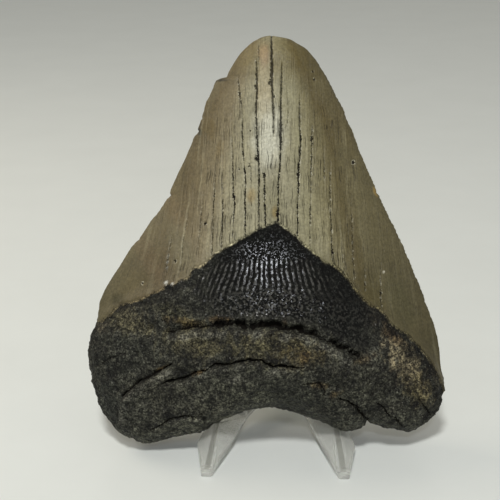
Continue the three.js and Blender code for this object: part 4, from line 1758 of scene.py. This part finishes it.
@dataclass
class Tooth:
    """The fossil tooth, one closed mesh of a front and a back sheet."""

    form: ToothForm = field(default_factory=ToothForm)
    columns: int = 260
    rows: int = 296
    rim_lines: int = 6
    serration: float = 0.13
    serration_pitch: float = 1.4
    serration_reach: float = 0.8
    left_serration: float = 0.7
    serration_drift: float = 0.4
    serration_size: Pair = (0.6, 0.5)
    drift_wander: Wander = (3, 70)
    size_wander: Wander = (9, 80)
    worn_wander: Wander = (2.2, 84)
    chip_reach: Pair = (0.8, 0.7)
    worn_edge: float = 0.22
    worn_reach: float = 1.5
    serrated_range: tuple[Range, Range] = ((-3, 0), (121, 124))
    left_cuts: Path = (
        (63.6, 0.0), (64.2, 0.4), (65.2, 0.0), (77.2, 0.0), (78.0, 1.1), (79.0, 0.3), (80.2, 0.0),
        (97.2, 0.0), (97.8, 0.5), (98.8, 0.6), (99.4, 0.0), (102.4, 0.0), (102.9, 0.3), (103.4, 0.0),
        (115.1, 0.0), (115.45, 2.9), (115.8, 3.2), (117.9, 2.4), (121.9, 1.4), (124.9, 0.2), (127, 0.0),
    )
    right_cuts: Path = (
        (13.0, 0.0), (14.0, 0.8), (15.4, 0.0), (56.0, 0.0), (56.5, 0.25), (57.0, 0.0), (78.4, 0.0),
        (79.4, 0.5), (80.4, 0.0), (92.6, 0.0), (93.0, 0.25), (93.6, 0.0),
    )
    rest_mark: tuple[float, float, float] = (22.5, -21.0, 0.75)
    rest_reach: float = 3.5
    rest_range: Range = (8, 12)
    slope_step: float = 0.25
    seam_merge: float = 0.002
    rim_tolerance: float = 1e-6

    def plane_places(self, share_across: Array, share_up: Array) -> tuple[Array, Array]:
        """Spreads a square grid between the outline's sides, bottom and tip.

        Args:
            share_across: Places in the grid from left to right, 0 to 1.
            share_up: Places in the grid from bottom to tip, 0 to 1.

        Returns:
            The places across and up in the tooth's plane.
        """
        form = self.form
        right = crowd(share_across, self.rim_lines / self.columns)
        high = crowd(share_up, self.rim_lines / self.rows)
        bottom, top = at_shares(form.root_bottom, right), at_shares(form.tip, right)
        start, end = form.left_side[0][1], form.tip[0][1]
        level = start + (end - start) * high
        left, far = form.sides(level)
        bottom_ends = np.array((form.root_bottom[0], form.root_bottom[-1]))
        tip_ends = np.array((form.tip[0], form.tip[-1]))
        bottom_line = bottom_ends[0] + right[:, None] * (bottom_ends[1] - bottom_ends[0])
        tip_line = tip_ends[0] + right[:, None] * (tip_ends[1] - tip_ends[0])
        between = bottom + (top - bottom) * high[:, None]
        straight = bottom_line + (tip_line - bottom_line) * high[:, None]
        sides = np.column_stack((left + (far - left) * right, level))
        place = between + sides - straight
        return place[:, 0], place[:, 1]

    def wear_edges(self, across: Array, up: Array) -> Array:
        """Moves places near the two long edges inwards, by worn serrations, nicks and chips.

        Args:
            across: Places to the right.
            up: Places towards the tip.

        Returns:
            The places to the right of the worn tooth.
        """
        left, right = self.form.sides(up)
        start, end = self.serrated_range
        level, swing = self.serration_size
        short, longer = self.chip_reach
        crown = smoothstep(up - look_up(self.form.crown_end_table, across), *start)
        crown = crown * (1 - smoothstep(up, *end))
        moved = across.copy()
        worn_sides = ((left, 1, self.left_cuts, self.left_serration), (right, -1, self.right_cuts, 1))
        for edge, sign, cuts, weight in worn_sides:
            off = np.abs(across - edge)
            drift, growth, wander = (
                wobble(up, pitch, seed + sign)
                for pitch, seed in (self.drift_wander, self.size_wander, self.worn_wander)
            )
            phase = 2 * math.pi * (up / self.serration_pitch + self.serration_drift * drift)
            teeth = self.serration * weight * (level + swing * growth)
            cut = crown * teeth * (1 - np.cos(phase)) * np.exp(-off / self.serration_reach)
            cut += self.worn_edge * crown * (1 + wander) * np.exp(-off / self.worn_reach)
            chip = np.interp(up, *np.transpose(cuts), left=0, right=0)
            moved += sign * (cut + chip * np.exp(-off / (short + longer * chip)))
        return moved

    def at_rim(self, shares: Array) -> Array:
        """Tells which places in the square grid are on its rim."""
        return np.min(np.minimum(shares, 1 - shares), axis=1) < self.rim_tolerance

    def smooth_places(self, side: Side, shares: Array) -> tuple[Array, Array, Array]:
        """Finds the smooth face under places in the square grid.

        Args:
            side: The face.
            shares: The places in the grid, in rows.

        Returns:
            The places across, up and in depth.
        """
        inside = np.clip(shares, 0, 1)
        across, up = self.plane_places(inside[:, 0], inside[:, 1])
        return across, up, np.where(self.at_rim(inside), 0, self.form.depth(side, across, up))

    def worn_places(self, side: Side, shares: Array) -> Array:
        """Finds the smooth face in the frame, with its edges worn.

        Args:
            side: The face.
            shares: The places in the grid, in rows.

        Returns:
            The places in the frame, in metres.
        """
        across, up, depth = self.smooth_places(side, shares)
        return self.form.to_frame(self.wear_edges(across, up), up, depth)

    def normals(self, side: Side, shares: Array) -> Array:
        """Finds which way the smooth face looks.

        Args:
            side: The face.
            shares: The places in the grid, in rows.

        Returns:
            Unit normals, in rows.
        """
        step = self.slope_step / self.rows
        rightwards, upwards = (
            self.worn_places(side, shares + way) - self.worn_places(side, shares - way)
            for way in (np.array((step, 0)), np.array((0, step)))
        )
        normal = np.cross(rightwards, upwards)
        normal /= np.maximum(np.linalg.norm(normal, axis=1), TINY)[:, None]
        return -normal if side is Side.BACK else normal

    def places(self, side: Side, shares: Array) -> tuple[Array, Surface]:
        """Finds where one sheet's vertices go.

        Args:
            side: The face that the sheet makes.
            shares: The vertices' places in the square grid, in rows.

        Returns:
            The places in the frame, in metres, and the surface's values there.
        """
        surface = ToothSurface(self.form).measure(side, *self.smooth_places(side, shares))
        rise = surface.rise[:, None] * MM
        place = self.worn_places(side, shares) + self.normals(side, shares) * rise
        right, back, lift = self.rest_mark
        reach = ((place[:, 0] / MM - right) ** 2 + (place[:, 1] / MM - back) ** 2) / self.rest_reach ** 2
        low = 1 - smoothstep(place[:, 2] / MM, *self.rest_range)
        place[:, 2] += lift * MM * np.exp(-reach) * low
        if side is Side.BACK:
            rim = self.at_rim(shares)
            place[rim] = self.places(Side.FRONT, shares[rim])[0]
        return place, surface

    def sheet(self, side: Side) -> bpy.types.Object:
        """Shapes one face of the tooth from a flat grid.

        Args:
            side: The face; the back has half as many rows and columns.

        Returns:
            The face's mesh, as an open sheet.
        """
        coarseness = 1 if side is Side.FRONT else 2
        columns, rows = self.columns // coarseness, self.rows // coarseness
        deselect_all()
        bpy.ops.mesh.primitive_grid_add(x_subdivisions=columns, y_subdivisions=rows, size=1)
        piece = bpy.context.object
        piece.name = "tooth_" + side.value
        shares = coordinates(piece)[:, :2] + 0.5
        shares = np.round(shares * (self.columns, self.rows)) / (self.columns, self.rows)
        place, surface = self.places(side, shares)
        move_vertices(piece, place)
        for name in (Field.TONE, Field.GRAIN, Field.ZONE, Field.CRACK, Field.WEAR):
            store(piece, name, getattr(surface, name.value))
        return piece

    def build(self, material: bpy.types.Material) -> bpy.types.Object:
        """Joins the two faces along their rim and dresses the tooth.

        Args:
            material: The tooth's finish.

        Returns:
            The finished piece.
        """
        front, back = self.sheet(Side.FRONT), self.sheet(Side.BACK)
        pick(front, back)
        bpy.ops.object.join()
        with edit_mode("DESELECT"):
            bpy.ops.mesh.select_mode(type="VERT")
            bpy.ops.mesh.select_non_manifold()
            bpy.ops.mesh.remove_doubles(threshold=self.seam_merge * MM)
        with edit_mode("DESELECT"):
            bpy.ops.mesh.select_non_manifold()
            bpy.ops.mesh.fill_holes(sides=3)
        with edit_mode():
            bpy.ops.mesh.normals_make_consistent(inside=False)
        front.name = front.data.name = "fossil_tooth"
        bpy.ops.object.shade_smooth()
        front.data.materials.clear()
        front.data.materials.append(material)
        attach(front, "root")
        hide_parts("tooth")
        return front


@dataclass
class Stand:
    """The clear tripod, with its moulded edges and toes rounded."""

    place: tuple[float, float] = (2.5, -39.7)
    turn: float = math.radians(-2)
    toe_radius: float = 0.7
    sliver: float = 0.1
    toe_reach: float = 43.2
    toe_segments: int = 5
    middle: float = 40.0
    upright: float = 0.05
    wing_underside: tuple[float, float, float] = (9.3, 27.5, 3.8)
    wing_near: float = 0.3
    wing_thinning: float = 0.7
    crest: Path = ((-3.8, 21.0), (20.0, 19.05))
    crest_half: float = 0.8
    crest_level: float = 0.8
    merge: float = 0.02
    edge_radius: float = 0.35
    edge_segments: int = 3
    flat_angle: float = math.radians(2)
    bevel_angle: float = math.radians(22)
    smooth_angle: float = math.radians(30)

    def own_places(self, places: Array) -> Array:
        """Turns places in the frame into the stand's own, from between its front toes.

        Args:
            places: Places in the frame, in rows, in metres.

        Returns:
            The places to the right, back and up, in rows, in millimetres.
        """
        off = places[:, :2] / MM - self.place
        cosine, sine = math.cos(self.turn), math.sin(self.turn)
        across = off[:, 0] * cosine + off[:, 1] * sine
        back = off[:, 1] * cosine - off[:, 0] * sine
        return np.column_stack((across, back, places[:, 2] / MM))

    def thin_wings(self, piece: bpy.types.Object) -> None:
        """Raises one corner of the underside at the inner edge of each arm.

        Args:
            piece: The stand.
        """
        places = coordinates(piece)
        own = self.own_places(places)
        own[:, 0] = np.abs(own[:, 0])
        near = np.linalg.norm(own - self.wing_underside, axis=1) < self.wing_near
        places[near, 2] += self.wing_thinning * MM
        move_vertices(piece, places)

    def round_toes(self, piece: bpy.types.Object) -> None:
        """Rounds the upright corners of the three toes and merges what the rounding leaves tiny.

        Args:
            piece: The stand.
        """
        own = self.own_places(coordinates(piece))
        pick(piece)
        with edit_mode("DESELECT"):
            bpy.ops.mesh.select_mode(type="EDGE")
        for edge in piece.data.edges:
            low, high = own[edge.vertices[0]], own[edge.vertices[1]]
            upright = math.dist(low[:2], high[:2]) < self.upright
            edge.select = bool(upright and abs(low[1] - self.middle) > self.toe_reach)
        bpy.ops.object.mode_set(mode="EDIT")
        bpy.ops.mesh.bevel(offset=self.toe_radius * MM, segments=self.toe_segments, affect="EDGES")
        bpy.ops.mesh.select_all(action="SELECT")
        bpy.ops.mesh.remove_doubles(threshold=self.sliver * MM)
        bpy.ops.object.mode_set(mode="OBJECT")

    def mark_facets(self, piece: bpy.types.Object) -> None:
        """Marks the flat crests and the rounded edges for the material, which paints the crests darker
        as shade and the edges lighter as highlight.

        Args:
            piece: The stand, whose rounded edges have the second material.
        """
        faces = piece.data.polygons
        middles, normals = np.empty(3 * len(faces)), np.empty(3 * len(faces))
        faces.foreach_get("center", middles)
        faces.foreach_get("normal", normals)
        rounded = np.empty(len(faces), np.int32)
        faces.foreach_get("material_index", rounded)
        own = self.own_places(middles.reshape(-1, 3))
        start, end = self.crest
        line = np.interp(own[:, 1], (start[0], end[0]), (start[1], end[1]))
        crest = (np.abs(np.abs(own[:, 0]) - line) < self.crest_half) & (own[:, 1] < end[0])
        crest &= (normals[2::3] > self.crest_level) & (rounded == 0)
        store(piece, Field.FACET, np.column_stack((crest, rounded, rounded)), "FACE")
        faces.foreach_set("material_index", np.zeros(len(faces), np.int32))

    def build(self, material: bpy.types.Material) -> bpy.types.Object:
        """Rounds the edges of a copy of the solid and dresses it.

        Args:
            material: The stand's finish.

        Returns:
            The finished piece.
        """
        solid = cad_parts["stand"]
        piece = bpy.data.objects.new("clear_stand", solid.data.copy())
        bpy.context.scene.collection.objects.link(piece)
        piece.data.name = "clear_stand"
        pick(piece)
        with edit_mode():
            bpy.ops.mesh.remove_doubles(threshold=self.merge * MM)
        self.thin_wings(piece)
        with edit_mode():
            bpy.ops.mesh.dissolve_limited(angle_limit=self.flat_angle)
            bpy.ops.mesh.normals_make_consistent(inside=False)
        self.round_toes(piece)
        piece.data.materials.clear()
        for _ in range(2):
            piece.data.materials.append(material)
        bevel = piece.modifiers.new("moulded_edges", "BEVEL")
        bevel.width = self.edge_radius * MM
        bevel.segments = self.edge_segments
        bevel.limit_method = "ANGLE"
        bevel.angle_limit = self.bevel_angle
        bevel.use_clamp_overlap = True
        bevel.material = 1
        bpy.ops.object.modifier_apply(modifier=bevel.name)
        self.mark_facets(piece)
        piece.data.materials.pop()
        bpy.ops.object.shade_smooth_by_angle(angle=self.smooth_angle)
        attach(piece, "root")
        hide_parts("stand")
        return piece


@dataclass(frozen=True)
class Lamp:
    """A soft round lamp that faces the tooth from its turn, its elevation and its distance."""

    name: str
    turn: float
    elevation: float
    distance: float
    size: float
    power: float
    colour: str


@dataclass
class Studio:
    """The floor, the lights and the camera."""

    middle: tuple[float, float] = (-5.3, 60.8)
    camera_distance: float = 400.0
    camera_elevation: float = math.radians(20)
    lens: float = 90.0
    sensor: float = 36.0
    clips: Range = (0.01, 50.0)
    floor_size: float = 12.0
    floor_colour: str = "e0e4e2"
    floor_roughness: float = 0.3
    dust: Pair = (40.0, 0.02)
    lamps: tuple[Lamp, ...] = (
        Lamp("key", math.radians(-9), math.radians(57), 1.6, 0.26, 15.8, "fffefa"),
        Lamp("sheen", 0.0, math.radians(37), 1.6, 0.13, 3.2, "f2f6ff"),
        Lamp("fill", math.radians(-115), math.radians(38), 0.6, 0.35, 0.9, "fff2dc"),
    )
    world_colour: str = "f6f4ea"
    world_strength: float = 0.33

    def __post_init__(self) -> None:
        """Finds the place that the camera and the lamps face."""
        across, up = self.middle
        self.target = Vector(ToothForm().to_frame(np.array([across]), np.array([up]), np.zeros(1))[0])

    def towards(self, turn: float, elevation: float, distance: float) -> Vector:
        """Finds a point in front of the target.

        Args:
            turn: How far it is turned to the right, in radians.
            elevation: Its angle above the target, in radians.
            distance: Its distance from the target, in metres.

        Returns:
            The point.
        """
        level = math.cos(elevation)
        way = Vector((math.sin(turn) * level, -math.cos(turn) * level, math.sin(elevation)))
        return self.target + way * distance

    def add_camera(self) -> None:
        """Looks down at the tooth along its plane's normal."""
        data = bpy.data.cameras.new("camera")
        data.lens = self.lens
        data.sensor_width = self.sensor
        data.clip_start, data.clip_end = self.clips
        camera = bpy.data.objects.new("camera", data)
        camera.location = self.towards(0.0, self.camera_elevation, self.camera_distance * MM)
        camera.rotation_euler = (math.radians(90) - self.camera_elevation, 0.0, 0.0)
        bpy.context.scene.collection.objects.link(camera)
        bpy.context.scene.camera = camera

    def add_lamp(self, lamp: Lamp) -> None:
        """Hangs a lamp that the camera doesn't see.

        Args:
            lamp: The lamp.
        """
        data = bpy.data.lights.new(lamp.name, "AREA")
        data.shape = "DISK"
        data.size = lamp.size
        data.energy = lamp.power
        data.color = srgb(lamp.colour)[:3]
        hung = bpy.data.objects.new(lamp.name, data)
        hung.location = self.towards(lamp.turn, lamp.elevation, lamp.distance)
        hung.visible_camera = False
        hung.rotation_euler = (self.target - hung.location).to_track_quat("-Z", "Y").to_euler()
        bpy.context.scene.collection.objects.link(hung)

    def add_floor(self, group: bpy.types.NodeTree) -> None:
        """Lays a plain pale floor with a soft gloss.

        Args:
            group: The shared mottle.
        """
        deselect_all()
        bpy.ops.mesh.primitive_plane_add(size=self.floor_size, location=(0, 0, 0))
        floor = bpy.context.object
        floor.name = "floor"
        material, recipe, shader = start_material("pale_floor", group)
        dust = recipe.mottle(*self.dust)
        recipe.feed(shader.inputs["Base Color"], recipe.shade(srgb(self.floor_colour), dust["Value"]))
        shader.inputs["Roughness"].default_value = self.floor_roughness
        floor.data.materials.append(material)

    def build(self, group: bpy.types.NodeTree) -> None:
        """Sets up the whole studio.

        Args:
            group: The shared mottle.
        """
        self.add_camera()
        self.add_floor(group)
        for lamp in self.lamps:
            self.add_lamp(lamp)
        world = bpy.data.worlds.new("studio")
        world.use_nodes = True
        background = world.node_tree.nodes["Background"]
        background.inputs["Color"].default_value = srgb(self.world_colour)
        background.inputs["Strength"].default_value = self.world_strength
        scene = bpy.context.scene
        scene.world = world
        scene.view_settings.view_transform = "Standard"


def report(piece: bpy.types.Object) -> None:
    """Logs a finished piece's name and size in triangles."""
    triangles = sum(len(face.vertices) - 2 for face in piece.data.polygons)
    log.info("%s: %d triangles", piece.name, triangles)


def main() -> None:
    """Builds the studio, the tooth and the stand in order, and logs each piece."""
    logging.basicConfig(level=logging.INFO, format="%(message)s")
    group = mottle_group()
    Studio().build(group)
    fossil = FossilFinish(ToothSurface.ridge_pitch).build(group)
    report(Tooth().build(fossil))
    report(Stand().build(ClearPlasticFinish().build(group)))


if __name__ == "__main__":
    main()
